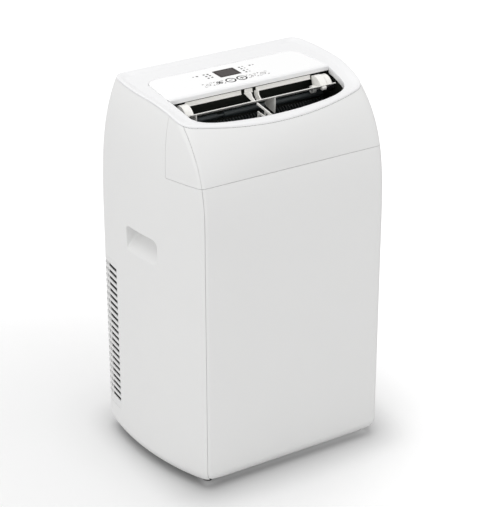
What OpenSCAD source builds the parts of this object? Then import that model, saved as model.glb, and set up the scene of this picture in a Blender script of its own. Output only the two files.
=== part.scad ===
// Portable air conditioner: a free-standing cabinet on four castors.
// Millimetres, +Z up, origin on the floor under the middle of the cabinet, front towards -Y.

/* [Cabinet] */
// Widest width of the cabinet
body_w = 460; // [440:1:500]
// Depth from the front face to the rear face
body_d = 306; // [300:1:340]
// Overall height from the floor
body_h = 700; // [690:1:740]
// Height of the shell's lower edge over the floor
skirt_z = 16; // [14:1:20]
// Thickness of the outer shells
wall = 2.6; // [2:0.1:3.4]
// Gap left between neighbouring shells
seam_gap = 0.8; // [0.5:0.1:1.5]
// Radius of the bowed side walls, seen from above
side_r = 500; // [450:5:600]
// How far behind the middle the sides are widest
side_cy = 61; // [50:1:70]
// Radius of the rear upright corners
rear_r = 28; // [22:1:34]
// Run of the rounding where side and front meet
crease_run = 9; // [6:0.5:12]

/* [Front and top] */
// How far the cross seam between front panel and hood lies under the top
seam_drop = 112; // [104:1:130]
// How far under the top the sides begin to draw in
side_drop = 252; // [240:1:270]
// How far under the top the front begins to lean back
front_drop = 227; // [210:1:240]
// Radius of the sloping part of the top
top_r = 310; // [290:5:340]
// Depth position behind which the top is level
top_y = 24; // [16:1:32]
// Depth position of the top cover's front corners
rim_y = -87; // [-92:1:-82]
// How far the top cover's front edge bows forward of its corners
rim_bow = 27; // [22:1:30]
// Thickness of the top cover
cover_t = 3; // [2.4:0.1:3.6]
// How deep the middle of the top cover lies under its rim
dish = 5; // [3:0.5:7]
// Width of the top cover's soft rim, from its edge to the dished middle
rim_w = 18; // [14:1:20]

/* [Outlet] */
// How far the outlet's rear corners stay inside the cabinet's widest width
outlet_in = 69; // [64:1:80]
// Depth position of the outlet's rear edge
outlet_y1 = -4; // [-8:1:0]
// Depth position of the outlet's front edge at its ends
outlet_y2 = -70; // [-72:1:-60]
// How far the outlet's front edge bows forward
outlet_bow = 19; // [14:1:20]
// Depth of the flange that hangs under the outlet's edge
flange_h = 12; // [8:1:14]
// Depth position of the louver's pivot
louver_y = -12; // [-14:1:-11]
// How far the louver's pivot lies under the top
louver_drop = 39; // [38:1:43]
// Radius of the louver's end discs
disc_r = 21; // [17:1:21]
// Length of the louver blade from pivot to front edge
blade_l = 35; // [30:1:38]
// Rise of the louver blade at rest, in degrees
blade_a = 29; // [20:1:35]
// Number of fins in the outlet guard
guard_fins = 21; // [16:1:24]

/* [Side details] */
// Lower edge of the side intake grille
grille_z0 = 64; // [60:1:80]
// Upper edge of the side intake grille
grille_z1 = 368; // [340:1:380]
// Depth position of the grille's front edge
grille_y = 87; // [80:1:92]
// Number of slots in the side intake grille
grille_slots = 22; // [18:1:24]
// Height of one slot
slot_h = 5.4; // [4:0.2:6.5]
// How far the grille lies under the side's surface
grille_sink = 1.5; // [1:0.1:2]
// How far the top of the hand hold lies under the cabinet's top
grip_drop = 236; // [230:1:250]
// Height of the hand hold
grip_h = 50; // [44:1:56]
// Depth of the hand hold at its top
grip_depth = 38; // [32:1:44]
// Front end of the hand hold
grip_y0 = -50; // [-56:1:-44]
// Length of the hand hold
grip_len = 90; // [84:1:96]

/* [Castors] */
// Diameter of the castor wheels
wheel_d = 40; // [36:1:44]
// Width of the castor wheels
wheel_w = 16; // [12:1:18]
// Trail of a castor wheel behind its stem
trail = 14; // [10:1:16]
// How far a castor stem stands inside the cabinet's widest width
castor_in = 78; // [77:1:88]
// Depth distance of the front castor stems from the middle
castor_yf = 106; // [98:1:107]
// Depth distance of the rear castor stems from the middle
castor_yr = 106; // [98:1:107]
// Diameter of the castor axle
axle_d = 5; // [4:0.5:6]
// Running clearance of turning parts, radial
run_gap = 0.06; // [0.03:0.01:0.1]

/* [Air system] */
// Diameter of the cold blower wheel
fan_d = 150; // [140:2:156]
// Width of the cold blower wheel
fan_w = 62; // [56:1:66]
// Blades of each blower wheel
fan_blades = 32; // [24:1:40]
// Diameter of the hot blower wheel
hot_d = 140; // [130:2:146]
// Width of the hot blower wheel
hot_w = 56; // [50:1:60]
// Inner diameter of the hose collar on the back
hose_d = 130; // [120:1:136]
// How far the hose collar's centre lies under the drip tray
hose_drop = 74; // [68:1:80]
// How far the hose collar's centre stays inside the rear cover's edge
hose_in = 83; // [77:1:91]
// Diameter of the compressor
comp_d = 112; // [100:2:120]
// Height of the compressor
comp_h = 236; // [210:2:250]

/* [Hidden] */

white = [0.93, 0.93, 0.93];
shell_white = [0.89, 0.89, 0.89];
soft_black = [0.09, 0.10, 0.10];
steel = [0.70, 0.71, 0.72];
copper = [0.78, 0.45, 0.25];

front0 = -body_d / 2;          // plane of the flat front
rear0 = body_d / 2;            // plane of the flat rear
seam_z = body_h - seam_drop;
side_z = body_h - side_drop;
front_z = body_h - front_drop;
louver_z = body_h - louver_drop;
grip_z = body_h - grip_drop;
castor_x = body_w / 2 - castor_in;
outlet_hw = body_w / 2 - outlet_in; // half width of the outlet opening at its rear edge
tray_z = body_h - 288;         // underside of the drip tray
hose_z = tray_z - hose_drop;
side_cx = body_w / 2 - side_r; // centre of the right side's bow
side_c2 = 1.7;                 // growth of the sides' draw-in, second power
side_c4 = 0.6;                 // and fourth power, per 100 mm
front_c2 = 3.7;                // growth of the front's lean, second power
front_c4 = 3.2;                // and fourth power, per 100 mm
rear_open = body_w / 2 - 69;   // half width of the rear cover
hose_x = rear_open - hose_in;
tuck_in = 6;                   // how far the skirt's lower edge tucks in
tuck_h = 16;                   // height over which it does
crease_grow = 11;              // extra run of the rounded edge up at the rim
rim_z = top_at(rim_y) - cover_t - seam_gap / 2; // where the crease meets the top cover
cover_r = 24;                  // radius of the top cover's rear corners
col_n = 8;                     // columns along a side
edge_n = 3;                    // columns over half a rounded edge
edge_gap = seam_gap / 40;      // half the seam's gap as a share of the edge's curve
corner_n = 5;                  // columns round a rear corner
skirt_rows = 4;                // rows over the tucked skirt
seam_rows = 6;                 // rows from there to the cross seam, where the shape curves
top_rows = 5;                  // rows over the part above it
$fn = 96;                      // segments of round parts
very_fine = 256;               // segments of large arcs
screw_x = rear_open - 7;       // sideways position of the rear cover's screws
screw_zs = [74, 150, 270, tray_z + 34, body_h - 100]; // their heights
screw_d = 3.2;                 // diameter of their threads
fit = 0.2;                     // gap round parts that fit into one another
castor_turn = 53;              // how far the castors' trail is turned from sideways
cover_rear = 4;                // how far the top cover's rear edge stays inside the rear face
window_x0 = -27;               // display window
window_w = 43;
window_y0 = 52;
window_d = 33;
board_xs = [-88, 78];          // pins that hold the control board
board_ys = [18, 84];
board_pin = 3;
board_drop = 8;                // how far the board hangs under the top cover
key_xs = [-64, -42, -18.5, 4, 27, 49]; // the touch keys
key_y = 33;

// ---- the cabinet's surface ----
function mix(a, b, t) = a + (b - a) * t;
// inward tuck of the lower edge, over the last tuck_h of the skirt
function tuck(z) = let (t = max(0, 1 - (z - skirt_z) / tuck_h)) tuck_in * t * t;
function side_in(z) = let (s = max(0, z - side_z) / 100)
    side_c2 * s * s + side_c4 * pow(s, 4) + tuck(z);
function front_at(z) = let (s = max(0, z - front_z) / 100)
    front0 + front_c2 * s * s + front_c4 * pow(s, 4) + tuck(z);
function top_at(y) = let (h = max(0, top_y - y)) body_h - top_r + sqrt(top_r * top_r - h * h);
function bow_r(z, d) = side_r - side_in(z) - d;
function side_at(y, z, d = 0) = side_cx + sqrt(pow(bow_r(z, d), 2) - pow(y - side_cy, 2));
// centre and start angle of the rear corner at height z
corner_cy = rear0 - rear_r;
function corner_cx(z) = side_cx
    + sqrt(pow(bow_r(z, 0) - rear_r, 2) - pow(corner_cy - side_cy, 2));
function corner_a(z) = atan2(corner_cy - side_cy, corner_cx(z) - side_cx);
// point of the right side at column j: along the bow, round the corner, then the rear
function skin_xy(j, z, yf, d) =
    let (a0 = asin((yf - side_cy) / bow_r(z, d)), a1 = corner_a(z))
    j <= col_n
        ? let (a = mix(a0, a1, j / col_n))
            [side_cx + bow_r(z, d) * cos(a), side_cy + bow_r(z, d) * sin(a)]
        : j <= col_n + corner_n
            ? let (a = mix(a1, 90, (j - col_n) / corner_n))
                [corner_cx(z) + (rear_r - d) * cos(a), corner_cy + (rear_r - d) * sin(a)]
            : [rear_open + seam_gap, rear0 - d - tuck(z)];

// rounded upright edge: a curve from a on the side, pulled towards the sharp corner b, to c on
// the front; it widens from the cross seam up to the rim
function bezier(a, b, c, t) = a * (1 - t) * (1 - t) + b * 2 * t * (1 - t) + c * t * t;
function run_at(z) = crease_run + crease_grow * pow(max(0, (z - seam_z) / (rim_z - seam_z)), 2);
// share ym..yc and zm..zc: the front's middle line and its corner at the same level
function edge_at(zc, ym, zm, t, d) =
    let (run = run_at(zc), yc = front_at(zc) + d, xb = side_at(yc, zc, d),
        y1 = yc - d + run, u = (xb - run) / xb,
        a = [side_at(y1, zc, d), y1, zc], b = [xb, yc, zc],
        c = [xb - run, mix(ym, yc, u * u), mix(zm, zc, u * u)])
    bezier(a, b, c, t);
function flat_edge(z, t, d) = edge_at(z, front_at(z) + d, z, t, d);

// closed solid between an outer and an inner grid of points
module grid_shell(outer, inner) {
    nr = len(outer);
    nc = len(outer[0]);
    n = nr * nc;
    pts = concat([for (r = outer) each r], [for (r = inner) each r]);
    faces = concat(
        [for (i = [0:nr - 2], j = [0:nc - 2]) each
            let (a = i * nc + j, b = a + 1, c = a + nc + 1, e = a + nc)
            [[a, c, b], [a, e, c], [n + a, n + b, n + c], [n + a, n + c, n + e]]],
        [for (j = [0:nc - 2]) each
            let (a = j, b = j + 1, c = (nr - 1) * nc + j, e = c + 1)
            [[a, b, n + b], [a, n + b, n + a], [c, n + c, n + e], [c, n + e, e]]],
        [for (i = [0:nr - 2]) each
            let (a = i * nc, b = a + nc, c = a + nc - 1, e = b + nc - 1)
            [[a, n + a, n + b], [a, n + b, b], [c, e, n + e], [c, n + e, n + c]]]);
    polyhedron(points = pts, faces = faces, convexity = 10);
}

// plan outline of the straight lower cabinet, d inside its surface
function plan_half(d) = concat(
    [for (i = [0:2 * edge_n - 1]) let (p = flat_edge(side_z, 1 - i / (2 * edge_n), d)) [p[0], p[1]]],
    [for (j = [0:col_n + corner_n]) skin_xy(j, side_z, front0 + crease_run, d)]);
module plan(d) {
    half = plan_half(d);
    polygon(concat(half, [for (i = [len(half) - 1:-1:0]) [-half[i][0], half[i][1]]]));
}

// ---- side panels ----
// rows: over the tucked skirt, one long straight row, then up the curved part
function panel_top(y) = top_at(y) - cover_t - seam_gap / 2;
function column_top(j) = panel_top(skin_xy(j, body_h - cover_t, front_at(seam_z), 0)[1]);
function row_z(i, top) = i <= skirt_rows ? skirt_z + tuck_h * i / skirt_rows
    : i <= skirt_rows + 1 + seam_rows ? mix(side_z, seam_z, (i - skirt_rows - 1) / seam_rows)
    : mix(seam_z, top, (i - skirt_rows - 1 - seam_rows) / top_rows);
panel_rows = skirt_rows + 1 + seam_rows + top_rows;
function panel_point(i, j, d) = j < edge_n
    ? let (z = row_z(i, column_top(0)), zf = min(z, seam_z), p = flat_edge(zf, side_t(j), d))
        [p[0] - side_in(z) + side_in(zf), p[1], z]
    : let (k = j - edge_n, z = row_z(i, column_top(k)), zf = min(z, seam_z))
        concat(skin_xy(k, z, front_at(zf) + crease_run, d), z);
// columns of the rounded edge that the side pieces hold, from the seam backwards
function side_t(j) = (0.5 - edge_gap) * (1 - j / edge_n);
function panel_grid(d) = [for (i = [0:panel_rows])
    [for (j = [0:edge_n + col_n + corner_n + 1]) panel_point(i, j, d)]];

cheek_lean = 0.2;  // lean of the seam between cheek and side panel
cheek_y = -68;     // depth position of that seam at the cross seam
function cheek_back(z) = cheek_y + (z - seam_z) * cheek_lean;

// body of the hand hold, cut or solid; run along the side's chord
grip_y1 = grip_y0 + grip_len;
grip_turn = atan2(side_at(grip_y1, grip_z) - side_at(grip_y0, grip_z), grip_len);
grip_r = 14;       // radius of its upper front corner
grip_r2 = 5;       // radius of its upper rear corner
module grip_wedge(extra, lip) {
    translate([side_at(grip_y0, grip_z), grip_y0, grip_z]) rotate([0, 0, -grip_turn])
        intersection() {
            translate([0, grip_len + extra, 0]) rotate([90, 0, 0])
                linear_extrude(grip_len + 2 * extra)
                    polygon([[lip, extra], [-grip_depth - extra, extra],
                        [-grip_depth - extra, -5 - extra], [-2, -grip_h - extra * 1.6],
                        [lip, -grip_h - extra * 1.6]]);
            rotate([90, 0, 90]) translate([0, 0, -grip_depth - 20])
                linear_extrude(grip_depth + 50) difference() {
                    translate([-extra, -grip_h - 20])
                        square([grip_len + 2 * extra, grip_h + 20 + extra]);
                    corner_cut([grip_r, -grip_r], grip_r + extra, -1);
                    corner_cut([grip_len - grip_r2, -grip_r2], grip_r2 + extra, 1);
                }
        }
}
// what a rounded upper corner leaves over, side s of centre c
module corner_cut(c, r, s) {
    translate(c) difference() {
        translate([s > 0 ? 0 : -r - 1, 0]) square([r + 1, r + 1]);
        circle(r = r);
    }
}
tab_w = 8;         // tabs that the rear cover's screws go into
tab_h = 16;
tab_t = 3;
module side_panel() {
    difference() {
        union() {
            grid_shell(panel_grid(0), panel_grid(wall));
            grip_wedge(2.4, -wall / 2);
        }
        grip_wedge(0, 12);
        // window of the intake grille, round the rear corner
        translate([rear_open + 12, grille_y, grille_z0])
            cube([80, 100, grille_z1 - grille_z0]);
        // step for the cheek
        translate([0, 0, seam_z - seam_gap / 2])
            rotate([90, 0, 90])
                linear_extrude(body_w)
                    polygon([[front0, 0], [cheek_back(seam_z), 0],
                        [cheek_back(body_h), body_h - seam_z], [front0, body_h - seam_z]]);
    }
    // tabs behind the rear cover, which its screws go into
    for (z = screw_zs) {
        translate([rear_open + seam_gap + fit, rear0 - wall - tab_t - fit, z - tab_h / 2])
            cube([tab_w, tab_t + 2 * fit, tab_h]);
        difference() {
            union() {
                translate([screw_x - 6, rear0 - wall - tab_t - fit, z - tab_h / 2])
                    cube([rear_open - screw_x + 6 + tab_w, tab_t, tab_h]);
                translate([screw_x, rear0 - wall - 0.2, z]) rotate([90, 0, 0])
                    cylinder(d = 8, h = 14);
            }
            translate([screw_x, rear0, z]) rotate([90, 0, 0])
                cylinder(d = screw_d, h = 40);
        }
    }
}
module left_side_panel() { color(shell_white) mirror([1, 0, 0]) side_panel(); }
module right_side_panel() { color(shell_white) side_panel(); }

// ---- side intake grilles: a frame round the corner with two rows of slots ----
module corner_strip(d0, d1, y0, x0) {
    outer = plan_half(d0);
    inner = plan_half(d1);
    intersection() {
        polygon(concat(outer, [[0, rear0 - d0]], [[0, rear0 - d1]],
            [for (i = [len(inner) - 1:-1:0]) inner[i]]));
        translate([x0, y0]) square([100, 200]);
    }
}
slot_pitch = (grille_z1 - grille_z0 - 24) / (grille_slots - 1);
slot_y = grille_y + 5;         // front end of the front slots
rib_y = rear0 - rear_r + 4;    // rib between the front and the corner slots
module intake_grille() {
    fit = 0.3;
    difference() {
        union() {
            translate([0, 0, grille_z0 + fit])
                linear_extrude(grille_z1 - grille_z0 - 2 * fit)
                    corner_strip(grille_sink, wall + 1.6, grille_y + fit, rear_open + 12 + fit);
            translate([0, 0, grille_z0 - 4])
                linear_extrude(grille_z1 - grille_z0 + 8)
                    corner_strip(wall + fit, wall + 1.6, grille_y - 4, rear_open + 10);
        }
        for (i = [0:grille_slots - 1])
            translate([rear_open, 0, grille_z0 + 12 + i * slot_pitch - slot_h / 2]) {
                translate([0, slot_y, 0]) cube([80, rib_y - slot_y, slot_h]);
                translate([18, rib_y + 4, 0]) cube([80, 60, slot_h]);
            }
    }
}
module left_intake_grille() { color(shell_white) mirror([1, 0, 0]) intake_grille(); }
module right_intake_grille() { color(shell_white) intake_grille(); }

// ---- front panel: flat, with rounded upright edges ----
front_rows = skirt_rows + 1 + seam_rows;
function front_row_z(i) = i <= skirt_rows ? skirt_z + tuck_h * i / skirt_rows
    : mix(side_z, seam_z - seam_gap / 2, (i - skirt_rows - 1) / seam_rows);
function front_t(j) = mix(0.5 + edge_gap, 1, j / edge_n);
// a row made whole from its right half, which runs inwards
function mirrored(half) = concat([for (p = half) [-p[0], p[1], p[2]]],
    [for (i = [len(half) - 1:-1:0]) half[i]]);
function front_grid(d) = [for (i = [0:front_rows])
    mirrored([for (j = [0:edge_n]) flat_edge(front_row_z(i), front_t(j), d)])];
module front_panel() {
    color(shell_white) {
        grid_shell(front_grid(0), front_grid(wall));
        // stiffening ribs behind the panel
        for (z = [150:140:seam_z - 158])
            translate([80 - body_w / 2, front0 + wall - fit, z]) cube([body_w - 160, 8, 2]);
    }
}

// ---- front hood: straight at the cross seam, bowed at the rim ----
hood_rows = 10;
face_n = 12;        // columns across the hood's face
hood_z0 = seam_z + seam_gap / 2;
mid_y1 = rim_y - rim_bow;
mid_z1 = panel_top(mid_y1);
brow_a = 0.86;      // how far round its arc the brow of the hood runs
// share of the way back at share v of the way up
function brow(v) = (1 - sqrt(1 - pow(v * brow_a, 2))) / (1 - sqrt(1 - pow(brow_a, 2)));
function mid_y(v, d) = mix(front_at(hood_z0), mid_y1, brow(v)) + d;
function mid_z(v) = mix(hood_z0, mid_z1, v);
function corner_z(v) = mix(hood_z0, rim_z, v);
function hood_edge(v, t, d) = edge_at(corner_z(v), mid_y(v, d), mid_z(v), t, d);
function hood_half(v, t0, d) =
    let (zc = corner_z(v), yc = front_at(zc) + d, xb = side_at(yc, zc, d),
        u0 = (xb - run_at(zc)) / xb)
    concat([for (j = [0:edge_n - 1]) hood_edge(v, mix(t0, 1, j / edge_n), d)],
        [for (k = [0:face_n / 2 - 1]) let (u = u0 * (1 - k / (face_n / 2)))
            [xb * u, mix(mid_y(v, d), yc, u * u), mix(mid_z(v), zc, u * u)]]);
function hood_row(v, t0, d) = let (half = hood_half(v, t0, d))
    concat([for (p = half) [-p[0], p[1], p[2]]], [[0, mid_y(v, d), mid_z(v)]],
        [for (i = [len(half) - 1:-1:0]) half[i]]);
module front_hood() {
    color(shell_white)
        grid_shell([for (i = [0:hood_rows]) hood_row(i / hood_rows, 0.5 + edge_gap, 0)],
            [for (i = [0:hood_rows]) hood_row(i / hood_rows, 0.5 + edge_gap, wall)]);
}

// ---- cheeks: the side pieces above the cross seam ----
cheek_cols = 5;
function cheek_point(i, j, d) = let (v = i / hood_rows) j < edge_n
    ? hood_edge(v, side_t(j), d)
    : let (t = (j - edge_n) / cheek_cols, zf = corner_z(v),
        y0 = front_at(zf) + run_at(zf), y = mix(y0, cheek_back(zf) - seam_gap, t),
        y1 = mix(front_at(rim_z) + run_at(rim_z), cheek_back(rim_z) - seam_gap, t),
        z = mix(hood_z0, panel_top(y1), v))
    [side_at(y, z, d), y, z];
function cheek_grid(d) = [for (i = [0:hood_rows])
    [for (j = [0:edge_n + cheek_cols]) cheek_point(i, j, d)]];
module left_cheek() {
    color(shell_white) mirror([1, 0, 0]) grid_shell(cheek_grid(0), cheek_grid(wall));
}
module right_cheek() { color(shell_white) grid_shell(cheek_grid(0), cheek_grid(wall)); }

// ---- top cover: soft rim, dished middle, outlet opening with its flange ----
function cover_x(y) = side_at(y, top_at(y) - cover_t);
// right half of the cover's outline, d inside its edge, from rear to front
cover_yr = rear0 - cover_rear - cover_r;
function cover_half(d) = concat([[0, rear0 - cover_rear - d]],
    [for (a = [90:-15:0]) [cover_x(cover_yr) - cover_r + (cover_r - d) * cos(a),
        cover_yr + (cover_r - d) * sin(a)]],
    [for (i = [1:11]) let (y = mix(cover_yr, front_at(rim_z) + run_at(rim_z), i / 12))
        [cover_x(y) - d, y]],
    [for (p = hood_half(1, 0, d)) [p[0], p[1]]], [[0, mid_y(1, d)]]);
module cover_plan(d) {
    half = cover_half(d);
    polygon(concat(half, [for (i = [len(half) - 2:-1:1]) [-half[i][0], half[i][1]]]));
}
// the rim's section: how far in from the edge, and how deep under the top
rim_in = [0, 0, 0.05, 0.16, 0.4, 0.7, 1];
rim_deep = [0.55, 0.2, 0.05, 0, 0.25, 0.76, 1];
lip = cover_t - seam_gap / 2;
function rim_row(i) = [for (p = cover_half(rim_in[i] * rim_w))
    [p[0], p[1], top_at(p[1]) - (i == 0 ? lip : rim_deep[i] * dish)]];
function rim_under(i) = let (d = min(rim_in[i] * rim_w + wall, rim_w))
    [for (p = cover_half(d))
        [p[0], p[1], top_at(p[1]) - (i == 0 ? lip : rim_deep[i] * dish + cover_t)]];
module cover_rim() {
    n = len(rim_in) - 1;
    grid_shell([for (i = [n:-1:0]) rim_row(i)], [for (i = [n:-1:0]) rim_under(i)]);
}
// strip that follows the slope of the top, between two depths under it
module top_band(z_over, z_under) {
    n = 14;
    y0 = mid_y1 - 2;
    ys = concat([rear0 + 1], [for (i = [0:n]) mix(top_y, y0, i / n)]);
    rotate([90, 0, 90]) translate([0, 0, -body_w / 2]) linear_extrude(body_w)
        polygon(concat([for (y = ys) [y, top_at(y) - z_over]],
            [for (i = [len(ys) - 1:-1:0]) [ys[i], top_at(ys[i]) - z_under]]));
}
// plan of the outlet opening, d inside its edge
outlet_x2 = outlet_hw - 15;    // half width near the front edge
module outlet_plan(d) {
    m = 16;
    front = [for (i = [0:m]) let (u = 1 - 2 * i / m)
        [(outlet_x2 - 12 - d) * u, outlet_y2 + d - outlet_bow * (1 - u * u)]];
    polygon(concat([[-outlet_hw + d, outlet_y1 - d], [outlet_hw - d, outlet_y1 - d],
        [outlet_hw - 5 - d, outlet_y2 + 28], [outlet_x2 - d, outlet_y2 + 11],
        [outlet_x2 - 4 - d, outlet_y2 + 3 + d]], front,
        [[-outlet_x2 + 4 + d, outlet_y2 + 3 + d], [-outlet_x2 + d, outlet_y2 + 11],
        [-outlet_hw + 5 + d, outlet_y2 + 28]]));
}
// plan of the control panel, d inside its edge
seat_x = outlet_hw + 1;        // half width of the control panel at its front
seat_y0 = outlet_y1 + 2;       // front edge of the control panel
seat_y1 = 98;                  // rear edge of the control panel
seat_r = 26;                   // radius of its rear corners
seat_in = 6;                   // how much narrower it is at the rear
key_t = 1.5;                   // thickness of the control panel
module seat_plan(d) {
    cx = seat_x - seat_in - seat_r;
    intersection() {
        polygon([[-seat_x + d, seat_y0 + d], [seat_x - d, seat_y0 + d],
            [seat_x - seat_in - d, seat_y1], [-seat_x + seat_in + d, seat_y1]]);
        union() {
            translate([-seat_x, seat_y0]) square([2 * seat_x, seat_y1 - seat_r - seat_y0]);
            for (s = [-1, 1]) translate([s * cx, seat_y1 - seat_r])
                circle(r = seat_r - d);
            translate([-cx, seat_y0]) square([2 * cx, seat_y1 - d - seat_y0]);
        }
    }
}
module key_window() {
    translate([-80, seat_y0 + 8, body_h - 40]) cube([150, seat_y1 - seat_y0 - 16, 60]);
}
module top_cover() {
    color(white) difference() {
        union() {
            cover_rim();
            mirror([1, 0, 0]) cover_rim();
            intersection() {
                top_band(dish, dish + cover_t);
                linear_extrude(body_h) cover_plan(rim_w - 0.3);
            }
            // flange under the outlet's edge
            intersection() {
                top_band(dish + 1, dish + flange_h);
                linear_extrude(body_h) difference() {
                    outlet_plan(-2);
                    outlet_plan(0);
                }
            }
        }
        linear_extrude(body_h + 20) outlet_plan(0);
        intersection() {
            top_band(-1, dish + key_t);
            linear_extrude(body_h + 10) seat_plan(0);
        }
        key_window();
        for (x = board_xs, y = board_ys)
            translate([x, y, body_h - 40]) cylinder(d = board_pin, h = 60);
    }
}
module control_panel() {
    color(white) difference() {
        intersection() {
            top_band(dish, dish + key_t);
            linear_extrude(body_h) seat_plan(fit);
        }
        translate([window_x0 - fit, window_y0 - fit, body_h - 40])
            cube([window_w + 2 * fit, window_d + 2 * fit, 60]);
    }
}
module display_window() {
    color([0.2, 0.15, 0.14]) union() {
        translate([window_x0, window_y0, body_h - dish - key_t - 0.6])
            cube([window_w, window_d, key_t + 0.6]);
        translate([window_x0 - 2, window_y0 - 2, body_h - dish - key_t - 1.8])
            cube([window_w + 4, window_d + 4, 1.2]);
    }
}
module control_board() {
    z = body_h - dish - cover_t - board_drop;
    color([0.10, 0.35, 0.16]) {
        difference() {
            translate([board_xs[0] - 8, board_ys[0] - 8, z])
                cube([board_xs[1] - board_xs[0] + 16, board_ys[1] - board_ys[0] + 16, 1.6]);
            for (x = board_xs, y = board_ys)
                translate([x, y, z - 1]) cylinder(d = board_pin, h = 4);
        }
        // display block, processor and relay
        translate([window_x0 + 2, window_y0 + 2, z + 1.6])
            cube([window_w - 4, window_d - 4, body_h - dish - key_t - 2 - z - 1.6]);
        translate([-60, 40, z - 3]) cube([14, 14, 3]);
        translate([30, 40, z - 12]) cube([18, 15, 12]);
        // touch springs under the keys
        for (x = key_xs) translate([x, key_y, z + 1.6])
            cylinder(d = 9, h = body_h - dish - key_t - 0.2 - z - 1.6);
        // pins into the top cover
        for (x = board_xs, y = board_ys) translate([x, y, z - 2])
            cylinder(d = board_pin, h = board_drop + 3);
    }
}

// ---- outlet: duct, guard, centre rib, louver and its drive ----
duct_in = outlet_hw + 3;       // half of the duct's inner width
duct_t = 2.4;                  // thickness of its walls
duct_z0 = body_h - 84;         // upper side of its floor
duct_yc = -70;                 // centre of its rounded rear wall
duct_zc = body_h - 50;
duct_rr = 82;                  // inner radius of the rear wall
duct_yf = -98;                 // inner face of its front wall
lip_y = -82;                   // centre of the round lip in front
lip_z = body_h - 62;
lip_r = 9;
duct_cut = [48, 15];           // how far its front corners are cut off, sideways and in depth
// plan of the duct, d inside its outside
module duct_plan(d) {
    x = duct_in + duct_t - d;
    y = duct_yf - duct_t + d;
    polygon([[-x, y + duct_cut[1]], [-x + duct_cut[0], y], [x - duct_cut[0], y],
        [x, y + duct_cut[1]], [x, 100], [-x, 100]]);
}
module duct_section(d) {
    difference() {
        intersection() {
            translate([duct_yc, duct_zc]) circle(r = duct_rr - d, $fn = very_fine);
            translate([duct_yf + d, duct_z0 + d]) square([200, 100]);
        }
        // keep under the top cover's slope
        polygon(concat([for (i = [0:8]) let (y = mix(60, -160, i / 8))
            [y, top_at(y) - dish - cover_t - 1.2]], [[-160, 800], [60, 800]]));
    }
}
module duct_slice(x, w) {
    translate([x, 0, 0]) rotate([90, 0, 90]) linear_extrude(w) children();
}
module outlet_duct() {
    color(soft_black) difference() {
        union() {
            difference() {
                intersection() {
                    duct_slice(-duct_in - duct_t, 2 * (duct_in + duct_t)) duct_section(-duct_t);
                    linear_extrude(body_h) duct_plan(0);
                }
                intersection() {
                    duct_slice(-duct_in, 2 * duct_in) union() {
                        duct_section(0);
                        translate([duct_yf, duct_zc])
                            square([duct_yc - duct_yf + duct_rr - 14, 80]);
                    }
                    linear_extrude(body_h + 50) duct_plan(duct_t);
                }
            }
            // round lip on a web from the front wall
            intersection() {
                duct_slice(-duct_in - 1, 2 * duct_in + 2) union() {
                    translate([lip_y, lip_z]) circle(r = lip_r);
                    translate([duct_yf - 1, lip_z - lip_r]) square([lip_y - duct_yf + 1, 3]);
                }
                linear_extrude(body_h) duct_plan(duct_t / 2);
            }
        }
        // mouth over the blower's chute
        translate([chute_x0, chute_y0, duct_z0 - duct_t - 1])
            cube([chute_w - 4, chute_d, 4 * duct_t]);
        // hole of the louver's bush
        translate([duct_in - 1, louver_y, louver_z]) rotate([0, 90, 0])
            cylinder(d = bush_d, h = 10);
    }
}
guard_x = duct_in - duct_cut[0];
module outlet_guard() {
    pitch = 2 * (guard_x - 6) / (guard_fins - 1);
    y1 = lip_y + lip_r * 0.6;
    color(soft_black) {
        for (i = [0:guard_fins - 1])
            duct_slice(-guard_x + 6 + i * pitch - 0.8, 1.6)
                polygon([[duct_yf + 0.4, lip_z + 9.4], [y1, lip_z + 9.4], [y1 + 12, lip_z + 4],
                    [y1 + 14, lip_z + 8], [y1 - 6, lip_z + 17], [duct_yf + 0.4, lip_z + 19]]);
        duct_slice(-guard_x, 2 * guard_x)
            translate([duct_yf + 0.3, lip_z + 9.3]) square([3, 10]);
    }
}
rib_r = blade_l + 4;           // inner radius of the rib's arms, round the louver's pivot
rib_x = [-16, -2];             // where its two arms stand
rib_t = 2;                     // their thickness
rib_h = 3.6;                   // height of their straight ends
module outlet_rib() {
    color(white) {
        for (x = rib_x) duct_slice(x, rib_t) union() {
            difference() {
                translate([louver_y, louver_z]) circle(r = rib_r + 5);
                translate([louver_y, louver_z]) circle(r = rib_r);
                translate([louver_y - 100, louver_z + 1]) square([200, 100]);
                translate([louver_y + 8, louver_z - 100]) square([100, 200]);
            }
            // straight end between the cover's flange and the guard
            translate([duct_yf + fit, louver_z - 3.3])
                square([louver_y - rib_r - duct_yf, rib_h]);
        }
        // bar that joins the two arms in front
        duct_slice(rib_x[0], rib_x[1] - rib_x[0] + rib_t)
            translate([duct_yf + fit, louver_z - 3.3]) square([4, rib_h]);
        // arm in the opening, up to the front flange, on a leg
        duct_slice(rib_x[0], rib_t) translate([louver_y, louver_z]) polygon([[-36.5, 12],
            [-71, 9], [-71, -1], [-76.6, -1], [-76.6, 11.8], [-36.5, 15.8]]);
        // foot on the duct's floor
        duct_slice(rib_x[0], rib_x[1] - rib_x[0] + rib_t)
            translate([louver_y, duct_z0 + 0.1])
                square([8, louver_z - rib_r - duct_z0 - 2]);
    }
}
blade_t = 2;                   // thickness of the louver's blade
louver_x0 = 20 - outlet_hw;    // outer face of its left disc
louver_x1 = outlet_hw - 10;    // outer face of its right disc
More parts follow.
